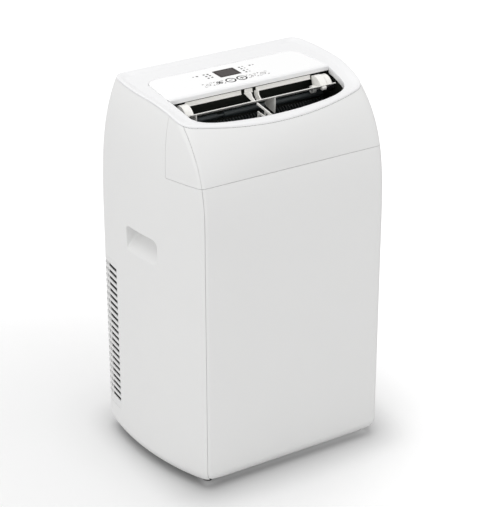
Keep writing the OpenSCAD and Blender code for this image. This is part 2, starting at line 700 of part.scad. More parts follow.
// plates at the louver's middle: place, then outline from the pivot
arms = [
    [-16, [[6, 18.5], [-1, 17.5], [-11, 15], [-23, 12.4], [-31, 15.6], [-26, 18.5],
        [-20, 21], [-18, 26], [-10, 26.5], [4.5, 19.5]]],
    [7, [[9, 18.5], [9, 10], [4, 5.5], [-1, 0], [-15, 7.6], [-8, 12], [-4, 16],
        [-3, 23], [-3, 26.5], [1, 21]]],
    [24, [[2, -6], [-4, -10], [-16, -12.5], [-30, -13.5], [-31, -1], [-30.9, 16.6], [-2, 0.6]]]];
arm_t = 2;
disc_t = 3;
shaft_d = 5;                   // shaft of the louver's motor
pin_d = 6;                     // right pin of the louver
bush_d = 14;                   // outer diameter of the bush
module louver() {
    color(white) translate([0, louver_y, louver_z]) difference() {
        union() {
            // blade, and a stiffening strip under its front edge
            rotate([-blade_a, 0, 0]) translate([louver_x0, -blade_l, -blade_t / 2])
                cube([louver_x1 - louver_x0, blade_l, blade_t]);
            rotate([-blade_a, 0, 0]) translate([louver_x0, -blade_l, -blade_t / 2 - 2])
                cube([louver_x1 - louver_x0, blade_t, 3]);
            for (x = [louver_x0, louver_x1 - disc_t]) translate([x, 0, 0])
                rotate([0, 90, 0]) cylinder(r = disc_r, h = disc_t);
            // hubs on the discs' inner faces
            translate([louver_x0, 0, 0]) rotate([0, 90, 0])
                cylinder(d = shaft_d + 7, h = disc_t + 8);
            translate([louver_x1 - disc_t - 5, 0, 0]) rotate([0, 90, 0])
                cylinder(d = pin_d + 8, h = disc_t + 5);
            // right pin
            translate([louver_x1 - 1, 0, 0]) rotate([0, 90, 0])
                cylinder(d = pin_d, h = duct_in - louver_x1 - 0.5);
            for (a = arms) duct_slice(a[0], arm_t) polygon(a[1]);
            // finger knob near the right disc
            rotate([-blade_a, 0, 0]) translate([louver_x1 - 24, -blade_l + 10, -6])
                cylinder(d = 8, h = 6);
        }
        translate([louver_x0 - 1, 0, 0]) rotate([0, 90, 0])
            cylinder(d = shaft_d + 2 * run_gap, h = disc_t + 7);
    }
}
module louver_motor() {
    x1 = louver_x0 - 0.6;      // face of its gear case
    color(steel) translate([0, louver_y, louver_z]) {
        translate([-duct_in + 0.1, 0, 0]) rotate([0, 90, 0])
            cylinder(d = 28, h = x1 + duct_in - 1.6);
        translate([x1 - 2, 0, 0]) rotate([0, 90, 0]) cylinder(d = 9, h = 2);
        translate([x1 - 1, 0, 0]) rotate([0, 90, 0]) cylinder(d = shaft_d, h = 9);
        // mounting ears against the duct's wall
        for (s = [-1, 1]) translate([-duct_in + 0.1, s > 0 ? 10 : -18, -4]) cube([2, 8, 8]);
    }
}
module louver_bush() {
    color(soft_black) translate([0, louver_y, louver_z]) rotate([0, 90, 0]) difference() {
        union() {
            translate([0, 0, louver_x1 + 0.5])
                cylinder(d = bush_d + 4, h = duct_in - louver_x1 - 0.5);
            translate([0, 0, duct_in - 1]) cylinder(d = bush_d, h = 1 + duct_t);
        }
        translate([0, 0, louver_x1 - 1])
            cylinder(d = pin_d + 2 * run_gap, h = duct_in - louver_x1 + 1);
    }
}

// ---- blowers ----
// spiral housing in the wheel's plane, growing by grow up to its chute, which rises on the left
// to height h and is w wide, or top_w above the spiral; all d inside
module scroll_plan(r0, grow, h, w, top_w, d) {
    n = 40;
    polygon([for (i = [0:n]) let (a = 120 - i * 300 / n, r = r0 + grow * i / n - d)
        [r * cos(a), r * sin(a)]]);
    translate([d - r0 - grow, -1]) square([w - 2 * d, h + 1]);
    if (top_w > w) translate([d - r0 - grow, r0 + 1 + d]) square([top_w - 2 * d, h - r0 - 1 - d]);
}
module scroll_case(r0, grow, depth, h, w, top_w, inlet) {
    t = 2;
    difference() {
        linear_extrude(depth) scroll_plan(r0, grow, h, w, top_w, 0);
        translate([0, 0, t]) linear_extrude(depth - 2 * t)
            scroll_plan(r0, grow, h + 5, w, top_w, t);
        translate([0, 0, -1]) cylinder(r = inlet, h = t + 2);
    }
}
// wheel of forward-curved blades, its back plate at z = 0
module blower_wheel(d, w, bore) {
    r = d / 2;
    ring = 10;                 // depth of the blades
    turn = 28;                 // how far a blade leads round the wheel
    n = 4;
    function blade(s) = [for (i = [0:n]) let (t = i / n, a = turn * t * t / 2 + s,
        q = r - ring + (ring - 0.8) * t) [q * cos(a), q * sin(a)]];
    difference() {
        union() {
            cylinder(r = r, h = 2, $fn = very_fine);
            translate([0, 0, 1]) linear_extrude(w - 2)
                for (k = [0:fan_blades - 1]) rotate(k * 360 / fan_blades)
                    polygon(concat(blade(0), [for (i = [n:-1:0]) blade(1.2)[i]]));
            translate([0, 0, w - 4]) difference() {
                cylinder(r = r + 0.6, h = 4, $fn = very_fine);
                translate([0, 0, -1]) cylinder(r = r - 2, h = 6, $fn = very_fine);
            }
            cylinder(d = bore + 14, h = 22);
        }
        translate([0, 0, -1]) cylinder(d = bore + 2 * run_gap, h = 30);
    }
}
// motor with its shaft along +z, its face at z = 0
module fan_motor(d, h, shaft, reach) {
    translate([0, 0, -h]) cylinder(d = d, h = h);
    translate([0, 0, -h - 6]) cylinder(d = d * 0.4, h = 7);
    translate([0, 0, -1]) cylinder(d = shaft, h = reach + 1);
    for (a = [0:90:270]) rotate(a) translate([d / 2 - 2, -5, -4]) cube([10, 10, 4]);
}
fan_shaft = 8;
// turns a blower's axis to +y, its front face at y
module along_y(x, y, z) {
    translate([x, y, z]) rotate([-90, 0, 0]) mirror([0, 1, 0]) children();
}
// cold blower
cold_x = 0;
cold_y = -74;                  // front face of its housing
cold_z = body_h - 172;
cold_r0 = 82;
cold_depth = fan_w + 14;
cold_grow = 18;
chute_w = 62;                  // width of both blowers' chutes
chute_x0 = cold_x - cold_r0 - cold_grow + 2;
chute_y0 = cold_y + 2;
chute_d = cold_depth - 4;
module evaporator_scroll() {
    color(soft_black) difference() {
        along_y(cold_x, cold_y, cold_z) mirror([0, 0, 1]) translate([0, 0, -cold_depth])
            scroll_case(cold_r0, cold_grow, cold_depth, duct_z0 - duct_t - cold_z - 0.2, chute_w,
                chute_w, fan_d / 2 - 8);
        // hole for the motor's shaft and boss
        along_y(cold_x, cold_y - 1, cold_z) cylinder(d = 40, h = 5);
    }
}
module evaporator_wheel() {
    color([0.75, 0.76, 0.78])
        along_y(cold_x, cold_y + 7, cold_z) blower_wheel(fan_d, fan_w, fan_shaft);
}
module evaporator_motor() {
    color(steel) along_y(cold_x, cold_y - 0.2, cold_z) fan_motor(84, 44, fan_shaft, 28);
}
// hot blower
hot_x = 60;
hot_y = 18;
hot_z = 190;
hot_r0 = 78;
hot_depth = hot_w + 14;
hot_grow = 16;
hot_top_w = hot_x + hot_r0 + hot_grow - hose_x + hose_d / 2 + 6;
module condenser_scroll() {
    top = hose_z + hose_d / 2 + 8;
    color(soft_black) difference() {
        union() {
            // its chute rises on the right
            along_y(hot_x, hot_y, hot_z) mirror([1, 0, 0]) mirror([0, 0, 1])
                translate([0, 0, -hot_depth]) scroll_case(hot_r0, hot_grow, hot_depth,
                    top - hot_z, chute_w, hot_top_w, hot_d / 2 - 8);
            // lid over the chute
            translate([hot_x + hot_r0 + hot_grow - hot_top_w, hot_y, top - 2])
                cube([hot_top_w, hot_depth, 2]);
        }
        along_y(hot_x, hot_y - 1, hot_z) cylinder(d = 40, h = 5);
        // port to the hose collar
        along_y(hose_x, hot_y + hot_depth - 5, hose_z)
            cylinder(d = hose_d - 4, h = 10);
    }
}
module condenser_wheel() {
    color([0.75, 0.76, 0.78])
        along_y(hot_x, hot_y + 7, hot_z) blower_wheel(hot_d, hot_w, fan_shaft);
}
module condenser_motor() {
    color(steel) along_y(hot_x, hot_y - 0.2, hot_z) fan_motor(84, 44, fan_shaft, 28);
}

// ---- heat exchangers: fins on rows of tubes ----
module fin_coil(w, d, h, rows) {
    fins = 26;
    pitch = (h - 20) / (rows - 1);
    for (i = [0:fins - 1]) let (x = mix(-w / 2, w / 2 - 1.2, i / (fins - 1)))
        translate([x, 0, 0]) cube([1.2, d, h]);
    for (i = [0:rows - 1]) translate([-w / 2 - 4, d / 2, 10 + i * pitch]) rotate([0, 90, 0])
        cylinder(d = 8, h = w + 8);
    for (i = [0:rows - 2]) let (s = i % 2 == 0 ? 1 : -1)
        translate([s * (w / 2 + 3.5), d / 2, 10 + (i + 0.5) * pitch])
            rotate([90, s > 0 ? 90 : -90, 0])
                rotate_extrude(angle = 180) translate([pitch / 2, 0])
                    circle(d = 7.6);
}
coil_y = 96;
coil_d = 28;
coil_w = body_w - 170;
coil_rows = 8;                 // an even number, so that both ends are on the left
cold_h = 222;
hot_h = 190;
module evaporator_coil() {
    color(steel) translate([0, coil_y, tray_z + tray_t]) fin_coil(coil_w, coil_d, cold_h, coil_rows);
}
module condenser_coil() {
    color(steel) translate([0, coil_y, coil_z0]) fin_coil(coil_w, coil_d, hot_h, coil_rows);
}

// ---- drip tray between the cold and the hot half ----
tray_t = 3;
tray_x = body_w / 2 - 62;      // half of its width
tray_y0 = -96;
tray_y1 = 138;
tray_h = 16;
drain_x = 41 - rear_open;      // sideways position of the upper drain
drain_z = tray_z + 9;
drain_d = 9;                   // bore of both drains
module tube_y(x, y0, y1, z, d, bore) {
    translate([x, y0, z]) rotate([-90, 0, 0]) difference() {
        cylinder(d = d, h = y1 - y0);
        translate([0, 0, -1]) cylinder(d = bore, h = y1 - y0 + 2);
    }
}
module drip_tray() {
    color([0.82, 0.83, 0.84]) {
        difference() {
            translate([-tray_x, tray_y0, tray_z])
                cube([2 * tray_x, tray_y1 - tray_y0, tray_h]);
            translate([-tray_x + tray_t, tray_y0 + tray_t, tray_z + tray_t])
                cube([2 * (tray_x - tray_t), tray_y1 - tray_y0 - 2 * tray_t, tray_h]);
            translate([drain_x, tray_y1 - tray_t - 1, drain_z]) rotate([-90, 0, 0])
                cylinder(d = drain_d, h = 10);
        }
        tube_y(drain_x, tray_y1 - 0.2, rear0 - plug_in - 0.2, drain_z, drain_d + 5, drain_d);
        // posts down to the base pan
        for (x = post_xs) translate([x - 5, post_y, deck]) cube([10, 10, tray_z - deck + 1]);
    }
}

// ---- base pan: floor, walls, castor wells with sockets for the stems ----
pan_in = 9.5;                  // how far it stays inside the cabinet's surface
pan_z = 20;                    // underside of its floor
pan_t = 3;
pan_top = 60;
deck = pan_z + pan_t;          // level that the lower parts stand on
well_r = trail + wheel_d / 2 + 3;
well_z = wheel_d + 6;          // underside of the plates that carry the castors
stem_d = 11;
stem_l = 15;
coil_z0 = 70;                  // underside of the condenser coil
post_xs = [3 - tray_x, tray_x - 3];
post_y = 50;
castors = [[-castor_x, -castor_yf, 180 + castor_turn], [castor_x, -castor_yf, -castor_turn],
    [-castor_x, castor_yr, 180 - castor_turn], [castor_x, castor_yr, castor_turn]];
module well_plan(d) {
    for (c = castors) translate([c[0], c[1]]) square(2 * (well_r + d), center = true);
}
module base_pan() {
    drain_y = rear0 - pan_in - pan_t - 1;
    cup = recesses[1];
    color(soft_black) difference() {
        union() {
            difference() {
                union() {
                    translate([0, 0, pan_z]) linear_extrude(pan_t) plan(pan_in);
                    translate([0, 0, pan_z]) linear_extrude(pan_top - pan_z) difference() {
                        plan(pan_in);
                        plan(pan_in + pan_t);
                    }
                    translate([0, 0, pan_z]) linear_extrude(well_z + pan_t - pan_z) intersection() {
                        plan(pan_in);
                        well_plan(pan_t);
                    }
                    // rim that the shells sit against
                    translate([0, 0, pan_top - 12]) linear_extrude(12) difference() {
                        plan(wall + 0.5);
                        plan(pan_in + pan_t);
                    }
                }
                // room for the rear cover's lower cup
                translate([cup[0] - cup[2] / 2 - 2.4, rear0 - plug_in - 2.4, pan_z - 1])
                    cube([cup[2] + 4.8, 20, cup[1] + cup[3] / 2 + 3.4 - pan_z]);
            }
            for (c = castors) translate([c[0], c[1], well_z])
                cylinder(d = stem_d + 9, h = stem_l + 4);
            // seats of the condenser coil
            for (x = [-60, 60]) translate([x - 6, coil_y, pan_z]) cube([12, coil_d, coil_z0 - pan_z]);
            tube_y(low_drain_x, drain_y, rear0 - plug_in - 0.2, low_drain_z, drain_d + 5, drain_d);
        }
        translate([0, 0, pan_z - 1]) linear_extrude(well_z - pan_z + 1) well_plan(0);
        for (c = castors) translate([c[0], c[1], well_z - 1])
            cylinder(d = stem_d + 2 * run_gap, h = stem_l + 1.5);
        translate([low_drain_x, drain_y, low_drain_z]) rotate([-90, 0, 0])
            cylinder(d = drain_d, h = 20);
    }
}

// ---- castors ----
cap_t = 3.4;                   // thickness of a fork's cap
cheek_t = 2;
cheek_gap = 0.6;
module castor_fork(k) {
    c = castors[k];
    cheek_x = wheel_w / 2 + cheek_gap;
    color(soft_black) translate([c[0], c[1], 0]) rotate(c[2]) {
        translate([0, 0, well_z - 0.3]) cylinder(d = stem_d, h = stem_l);
        translate([0, 0, well_z - 0.3 - cap_t]) cylinder(d = 24, h = cap_t);
        for (s = [-1, 1]) difference() {
            translate([0, s > 0 ? cheek_x + cheek_t : -cheek_x, 0]) rotate([90, 0, 0])
                linear_extrude(cheek_t) union() {
                    translate([trail, wheel_d / 2]) circle(r = 7);
                    polygon([[-8, well_z - 0.3], [-8, well_z - 6], [trail - 7, wheel_d / 2],
                        [trail + 7, wheel_d / 2], [10, well_z - 0.3]]);
                }
            translate([trail, 0, wheel_d / 2]) rotate([90, 0, 0])
                cylinder(d = axle_d, h = 40, center = true);
        }
    }
}
module castor_axle(k) {
    c = castors[k];
    l = wheel_w + 2 * (cheek_gap + cheek_t);
    color(steel) translate([c[0], c[1], 0]) rotate(c[2]) translate([trail, 0, wheel_d / 2])
        rotate([90, 0, 0]) {
            cylinder(d = axle_d, h = l, center = true);
            for (s = [-1, 1]) translate([0, 0, s * (l / 2 + 0.5)])
                cylinder(d = axle_d + 3, h = 1, center = true);
        }
}
module castor_wheel(k) {
    c = castors[k];
    r = wheel_d / 2;
    h = wheel_w / 2;
    color(soft_black) translate([c[0], c[1], 0]) rotate(c[2]) translate([trail, 0, r])
        rotate([90, 0, 0]) rotate_extrude()
            polygon([[axle_d / 2 + run_gap, -h], [6, -h], [7, -h + 2], [r - 5, -h + 2],
                [r - 4, -h + 0.4], [r - 1.5, -h + 1], [r - 0.3, -h + 3], [r, 0],
                [r - 0.3, h - 3], [r - 1.5, h - 1], [r - 4, h - 0.4], [r - 5, h - 2],
                [7, h - 2], [6, h], [axle_d / 2 + run_gap, h]]);
}
module castor_fork_fl() { castor_fork(0); }
module castor_fork_fr() { castor_fork(1); }
module castor_fork_rl() { castor_fork(2); }
module castor_fork_rr() { castor_fork(3); }
module castor_axle_fl() { castor_axle(0); }
module castor_axle_fr() { castor_axle(1); }
module castor_axle_rl() { castor_axle(2); }
module castor_axle_rr() { castor_axle(3); }
module castor_wheel_fl() { castor_wheel(0); }
module castor_wheel_fr() { castor_wheel(1); }
module castor_wheel_rl() { castor_wheel(2); }
module castor_wheel_rr() { castor_wheel(3); }

// ---- rear cover and what sits in it ----
plug_in = 8;                   // how far the recesses go in
low_drain_x = 61 - rear_open;
low_drain_z = 36;
gland_x = 26 - rear_open;
gland_z = tray_z - 82;
up_z0 = tray_z + 32;           // upper filter's opening
up_z1 = body_h - 44;
low_z0 = 66;                   // lower filter's opening
low_z1 = tray_z - 160;
filter_x = rear_open - 16;     // half width of both openings
frame_t = 12;                  // depth of the filters
function rear_line(d) = concat([for (i = [0:skirt_rows])
    let (z = skirt_z + tuck_h * i / skirt_rows) [rear0 - tuck(z) - d, z]],
    [[rear0 - d, body_h - cover_t - seam_gap / 2]]);
// recess in the rear cover, or the cup round it
module recess(x, z, w, h, extra) {
    translate([x - w / 2 - extra, rear0 - plug_in - extra, z - h / 2 - extra])
        cube([w + 2 * extra, plug_in + extra + (extra > 0 ? -0.5 : 5), h + 2 * extra]);
}
recesses = [[drain_x, drain_z, 30, 30], [low_drain_x, low_drain_z, 30, 26],
    [gland_x, gland_z, 44, 44]];
module rear_cover() {
    color(shell_white) difference() {
        union() {
            duct_slice(-rear_open, 2 * rear_open)
                polygon(concat(rear_line(0), [for (i = [skirt_rows + 1:-1:0]) rear_line(wall)[i]]));
            for (r = recesses) recess(r[0], r[1], r[2], r[3], 2);
            // frames of the filter openings
            for (z = [[up_z0, up_z1], [low_z0, low_z1]])
                translate([-filter_x - 2, rear0 - frame_t - 1, z[0] - 2])
                    cube([2 * filter_x + 4, frame_t, z[1] - z[0] + 4]);
        }
        for (r = recesses) recess(r[0], r[1], r[2], r[3], 0);
        for (z = [[up_z0, up_z1], [low_z0, low_z1]])
            translate([-filter_x, rear0 - frame_t - 5, z[0]])
                cube([2 * filter_x, frame_t + 10, z[1] - z[0]]);
        // sockets of the filters' pivots
        for (z = [up_z0, low_z0]) translate([0, filter_py, z + filter_pz])
            rotate([0, 90, 0]) cylinder(d = pivot_d + 2 * run_gap,
                h = 2 * filter_x + 10, center = true);
        translate([hose_x, rear0 + 1, hose_z]) rotate([90, 0, 0])
            cylinder(d = hose_d + 6 + fit, h = 20);
        // holes for the two drains and the cord
        for (p = [[drain_x, drain_z, drain_d + 5 + fit], [low_drain_x, low_drain_z,
            drain_d + 5 + fit], [gland_x, gland_z, gland_d + fit]])
            translate([p[0], rear0, p[1]]) rotate([90, 0, 0])
                cylinder(d = p[2], h = 30);
        for (s = [-1, 1], z = screw_zs) translate([s * screw_x, rear0 + 1, z])
            rotate([90, 0, 0]) {
                cylinder(d = head_d + 0.6, h = 1 + head_t);
                cylinder(d = screw_d + 0.6, h = 20);
            }
    }
}
head_d = 7;
head_t = 1.4;
module rear_screws() {
    color(steel) for (s = [-1, 1], z = screw_zs) translate([s * screw_x, rear0, z])
        rotate([90, 0, 0]) difference() {
            union() {
                translate([0, 0, 0.1]) cylinder(d = head_d, h = head_t - 0.1);
                cylinder(d = screw_d, h = 14);
            }
            // cross slot
            for (a = [0, 90]) rotate(a) translate([-2, -0.4, -1]) cube([4, 0.8, 1.9]);
        }
}

// ---- filters: slatted frames that tilt out at the top ----
pivot_d = 4;
filter_pz = 7;                 // height of the pivots over the opening's edge
filter_py = rear0 - 6.5;
slat_pitch = 13.4;
module filter_frame(z0, z1) {
    x1 = filter_x - 0.8;
    h = z1 - z0 - 0.9;
    yf = rear0 - frame_t + 0.3;
    pz = z0 + filter_pz;
    rim = 9;
    slats = floor((h - 2 * rim - 8) / slat_pitch);
    difference() {
        duct_slice(-x1, 2 * x1) union() {
            translate([yf, pz]) square([frame_t - 0.3, z0 + h - pz]);
            translate([filter_py, pz]) circle(r = 6.1);
        }
        // openings between the slats, in two halves
        for (i = [0:slats - 1], x = [-x1 + rim, 3])
            translate([x, yf - 1, pz + 8 + i * slat_pitch])
                cube([x1 - rim - 3, frame_t + 2, slat_h]);
        // hollow behind the slats
        translate([-x1 + rim, yf - 1, pz + 6]) cube([2 * (x1 - rim), frame_t - 2.5, h - rim - 14]);
    }
    // filter mesh in its own thin frame
    translate([-x1 + rim - 0.5, yf + 2, pz + 5.5]) cube([2 * (x1 - rim) + 1, 1, h - rim - 13]);
    for (s = [-1, 1]) translate([s * (x1 + 1.2), filter_py, pz]) rotate([0, 90, 0])
        cylinder(d = pivot_d, h = 3.6, center = true);
    // finger tab at the top
    translate([-20, yf + frame_t - 4.4, z0 + h - 1]) cube([40, 3, 1.2]);
}
slat_h = 6;
module upper_filter() { color(shell_white) filter_frame(up_z0, up_z1); }
module lower_filter() { color(shell_white) filter_frame(low_z0, low_z1); }

// ---- drains, hose collar, cord inlet ----
// rubber plug with a collar, outside end at the cabinet's rear
module drain_plug(x, z) {
    color(soft_black) translate([x, rear0 - plug_in + 0.1, z]) rotate([-90, 0, 0]) {
        translate([0, 0, -14]) cylinder(d = drain_d - 2 * plug_gap, h = 15);
        cylinder(d = 17, h = 3);
        translate([-1.5, -6, 2.9]) cube([3, 12, plug_in - 3.2]);
    }
}
plug_gap = 0.05;               // radial clearance of a plug in its drain
module upper_drain_plug() { drain_plug(drain_x, drain_z); }
module lower_drain_plug() { drain_plug(low_drain_x, low_drain_z); }
module hose_collar() {
    y0 = hot_y + hot_depth + 0.2;
    color(shell_white) along_y(hose_x, y0, hose_z) difference() {
        union() {
            cylinder(d = hose_d + 6, h = rear0 - y0, $fn = very_fine);
            // flanges against the blower housing and the rear cover
            cylinder(d = hose_d + 16, h = 2, $fn = very_fine);
            translate([0, 0, rear0 - y0 - wall - 2.2])
                cylinder(d = hose_d + 18, h = 2, $fn = very_fine);
        }
        translate([0, 0, -1]) cylinder(d = hose_d, h = 100, $fn = very_fine);
    }
}
gland_d = 16;
module cord_gland() {
    color(soft_black) translate([gland_x, rear0 - plug_in, gland_z]) rotate([-90, 0, 0])
        difference() {
            union() {
                translate([0, 0, -8]) cylinder(d = gland_d, h = 9);
                cylinder(d = gland_d + 8, h = 2.5, $fn = 6);
                cylinder(d1 = gland_d - 2, d2 = gland_d - 5, h = plug_in - 0.5);
                // nut inside
                translate([0, 0, -8]) cylinder(d = gland_d + 8, h = 5.8, $fn = 6);
            }
            translate([0, 0, -9]) cylinder(d = 8, h = 30);
        }
}

// ---- refrigeration circuit ----
comp_x = 15 - body_w / 4;
comp_y = -5;
comp_z0 = deck + 9;            // underside of the compressor's shell
foot_r = comp_d / 2 + 8;       // where its three grommets stand
feet = [for (a = [45, 165, 285]) [comp_x + foot_r * cos(a), comp_y + foot_r * sin(a)]];
module compressor() {
    r = comp_d / 2;
    color([0.12, 0.12, 0.13]) {
        translate([comp_x, comp_y, comp_z0]) rotate_extrude() polygon(concat(
            [[0, 0], [r - 16, 0], [r - 5, 6], [r, 18], [r, comp_h - 30]],
            [for (a = [15:15:75]) [(r - 26) + 26 * cos(a), comp_h - 30 + 26 * sin(a)]],
            [[r - 26, comp_h - 4], [0, comp_h - 4]]));
        // foot plate with its three arms
        difference() {
            union() {
                translate([comp_x, comp_y, comp_z0 - 3]) cylinder(r = r, h = 3.4);
                for (f = feet) translate([f[0], f[1], comp_z0 - 3])
                    cylinder(d = 24, h = 3);
            }
            for (f = feet) translate([f[0], f[1], comp_z0 - 4])
                cylinder(d = 11, h = 6);
        }
        // terminal cover on the top
        translate([comp_x - 18, comp_y - 14, comp_z0 + comp_h - 6]) cube([36, 28, 16]);
        // discharge stub
        translate([comp_x - 36, comp_y, comp_z0 + comp_h - 24])
            cylinder(d = 14, h = 26);
    }
}
module compressor_grommets() {
    color(soft_black) for (f = feet) translate([f[0], f[1], deck]) {
        cylinder(d = 20, h = comp_z0 - 3 - deck);
        cylinder(d = 10.8, h = comp_z0 - deck + 2);
        translate([0, 0, comp_z0 - deck + 0.05]) cylinder(d = 17, h = 5);
    }
}
acc_d = 46;
acc_x = comp_x + comp_d / 2 + acc_d / 2 + 5;
acc_y = comp_y - 48;
acc_z0 = 76;
acc_h = 150;
module suction_accumulator() {
    color([0.12, 0.12, 0.13]) {
        translate([acc_x, acc_y, acc_z0]) rotate_extrude() polygon(concat(
            [[0, 0]], [for (a = [-75:15:0]) [acc_d / 2 - 12 + 12 * cos(a), 12 + 12 * sin(a)]],
            [for (a = [0:15:90]) [acc_d / 2 - 12 + 12 * cos(a), acc_h - 12 + 12 * sin(a)]],
            [[0, acc_h]]));
        // strap to the compressor
        translate([acc_x, acc_y, acc_z0 + acc_h / 2]) rotate(atan2(comp_y - acc_y, comp_x - acc_x))
            translate([0, -9, 0])
                cube([norm([comp_x - acc_x, comp_y - acc_y]) - comp_d / 2 - 0.1, 18, 12]);
    }
}
// pipe through a list of points, with round knees a little thicker than it
module pipe(points, d) {
    for (i = [0:len(points) - 2]) let (a = points[i], v = points[i + 1] - a)
        translate(a) rotate([0, acos(v[2] / norm(v)), atan2(v[1], v[0])])
            cylinder(d = d, h = norm(v));
    for (i = [1:len(points) - 2]) translate(points[i]) sphere(d = 1.04 * d);
}
coil_yc = coil_y + coil_d / 2; // where the coils' tubes end on the left
coil_xe = -coil_w / 2 - 4;
hot_z1 = coil_z0 + hot_h - 10; // the condenser's upper end
cold_z0 = tray_z + tray_t + 10; // the evaporator's lower and upper ends
cold_z1 = tray_z + tray_t + cold_h - 10;
suction_x = 48 - body_w / 2;   // where the suction pipe goes up
suction_y = 68;
module suction_pipe() {
    z = acc_z0 + acc_h;
    color(copper) pipe([[acc_x, acc_y, z], [acc_x, acc_y, z + 26], [acc_x, suction_y, z + 26],
        [suction_x, suction_y, z + 26], [suction_x, suction_y, cold_z1],
        [suction_x, coil_yc, cold_z1], [coil_xe, coil_yc, cold_z1]], 12);
}
module discharge_pipe() {
    x = comp_x - 36;
    z = comp_z0 + comp_h + 2;
    color(copper) pipe([[x, comp_y, z], [x, comp_y, z + 22], [x, coil_yc, z + 22],
        [coil_xe - 17, coil_yc, z + 22], [coil_xe - 17, coil_yc, hot_z1],
        [coil_xe, coil_yc, hot_z1]], 8);
}
module liquid_line() {
    x = coil_xe - 29;
    y = 87;
    z = coil_z0 + 10;
    zd = z + 98;               // underside of the filter drier
    over = tray_z + tray_h + 12; // height at which the line crosses the tray's wall
    color(copper) {
        pipe([[coil_xe, coil_yc, z], [x, coil_yc, z], [x, y, z], [x, y, zd + 2]], 6);
        // filter drier
        translate([x, y, zd]) cylinder(d = 18, h = 70);
        // coiled capillary
        for (i = [0:4]) translate([x, y, zd + 78 + i * 4.2]) rotate_extrude()
            translate([9, 0]) circle(d = 2.4, $fn = 24);
        pipe([[x, y, zd + 68], [x, y, over], [x, coil_yc, over], [coil_xe - 7, coil_yc, over],
            [coil_xe - 7, coil_yc, cold_z0], [coil_xe, coil_yc, cold_z0]], 4);
        // strap that holds the turns
        translate([x - 9.6, y - 1, zd + 76]) cube([1.2, 2, 21]);
        translate([x - 9, y - 1, zd + 68.5]) cube([9, 2, 1.2]);
        translate([x - 9.6, y - 1, zd + 68.5]) cube([1.2, 2, 8]);
    }
}
// ---- splash wheel: throws the tray's water on the hot coil ----
splash_x = well_r + 36 - castor_x;
splash_z = 66;
splash_r = 34;
splash_y = 82;                 // its rear face
module splash_wheel() {
    color([0.82, 0.83, 0.84]) along_y(splash_x, splash_y, splash_z) difference() {
        union() {
            cylinder(r = splash_r - 5, h = 2);
            for (k = [0:11]) rotate(k * 30) translate([splash_r - 14, -1, 0]) cube([14, 2, 8]);
            cylinder(d = 12, h = 10);
        }
        translate([0, 0, -1]) cylinder(d = 5 + 2 * run_gap, h = 9);
    }
}
module splash_motor() {
    color(steel) {
        along_y(splash_x, splash_y - 26, splash_z) {
            cylinder(d = 34, h = 22);
            cylinder(d = 5, h = 33);
        }
        // stand on the base pan
        translate([splash_x - 14, splash_y - 24, deck]) cube([28, 3, splash_z - deck]);
        translate([splash_x - 14, splash_y - 24, deck]) cube([28, 18, 2]);
    }
}
// ---- electrics ----
box_x0 = 62;
box_x1 = body_w / 2 - 62;
box_y0 = -140;
box_y1 = -98;
box_z0 = 84;
box_h = 170;
module electrical_box() {
    color([0.85, 0.85, 0.83]) {
        difference() {
            translate([box_x0, box_y0, box_z0]) cube([box_x1 - box_x0, box_y1 - box_y0, box_h]);
            translate([box_x0 + 2, box_y0 + 2, box_z0 + 2])
                cube([box_x1 - box_x0 - 4, box_y1 - box_y0 - 4, box_h - 4]);
        }
        // lid over the front, standing a little proud
        translate([box_x0 - 1.5, box_y0 - 2, box_z0 - 1.5])
            cube([box_x1 - box_x0 + 3, 2.2, box_h + 3]);
        // foot down to the base pan
        translate([box_x0 + 4, box_y1 - 4, deck]) cube([24, 4, box_z0 - deck + 1]);
        // screws of its lid, cable bushes in its side
        for (x = [box_x0 + 5, box_x1 - 5], z = [box_z0 + 5, box_z0 + box_h - 5])
            translate([x, box_y0 - 2, z]) rotate([90, 0, 0]) cylinder(d = 6, h = 1.6);
        for (z = [box_z0 + 40, box_z0 + 90]) translate([box_x0 + 0.5, box_y0 + 20, z])
            rotate([0, -90, 0]) cylinder(d = 12, h = 6);
    }
}
module run_capacitor() {
    color([0.78, 0.79, 0.80]) {
        translate([box_x0 - 30, box_y1 - 22, box_z0 - 20]) {
            cylinder(d = 40, h = 74);
            cylinder(d = 43, h = 3);
            for (x = [-8, 8]) translate([x - 3, -1, 73]) cube([6, 1, 10]);
        }
        // clamp to the electrical box
        translate([box_x0 - 12, box_y1 - 30, box_z0 + 20]) cube([11.9, 16, 3]);
    }
}

base_pan();
left_side_panel();
right_side_panel();
left_intake_grille();
right_intake_grille();
left_cheek();
right_cheek();
front_panel();
front_hood();
rear_cover();
rear_screws();
top_cover();
control_panel();
display_window();
control_board();
outlet_duct();
outlet_guard();
outlet_rib();
louver();
louver_motor();
louver_bush();
evaporator_coil();
evaporator_scroll();
evaporator_wheel();
evaporator_motor();
drip_tray();
condenser_coil();
condenser_scroll();
condenser_wheel();
condenser_motor();
compressor();
suction_accumulator();
compressor_grommets();
suction_pipe();
discharge_pipe();
liquid_line();
splash_wheel();
splash_motor();
electrical_box();
run_capacitor();
hose_collar();
cord_gland();
upper_filter();
lower_filter();
upper_drain_plug();
lower_drain_plug();
castor_fork_fl();
castor_fork_fr();
castor_fork_rl();
castor_fork_rr();
castor_wheel_fl();
castor_wheel_fr();
castor_wheel_rl();
castor_wheel_rr();
castor_axle_fl();
castor_axle_fr();
castor_axle_rl();
castor_axle_rr();
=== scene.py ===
"""Portable air conditioner, dressed: moulded white shells round the built cabinet."""
import math

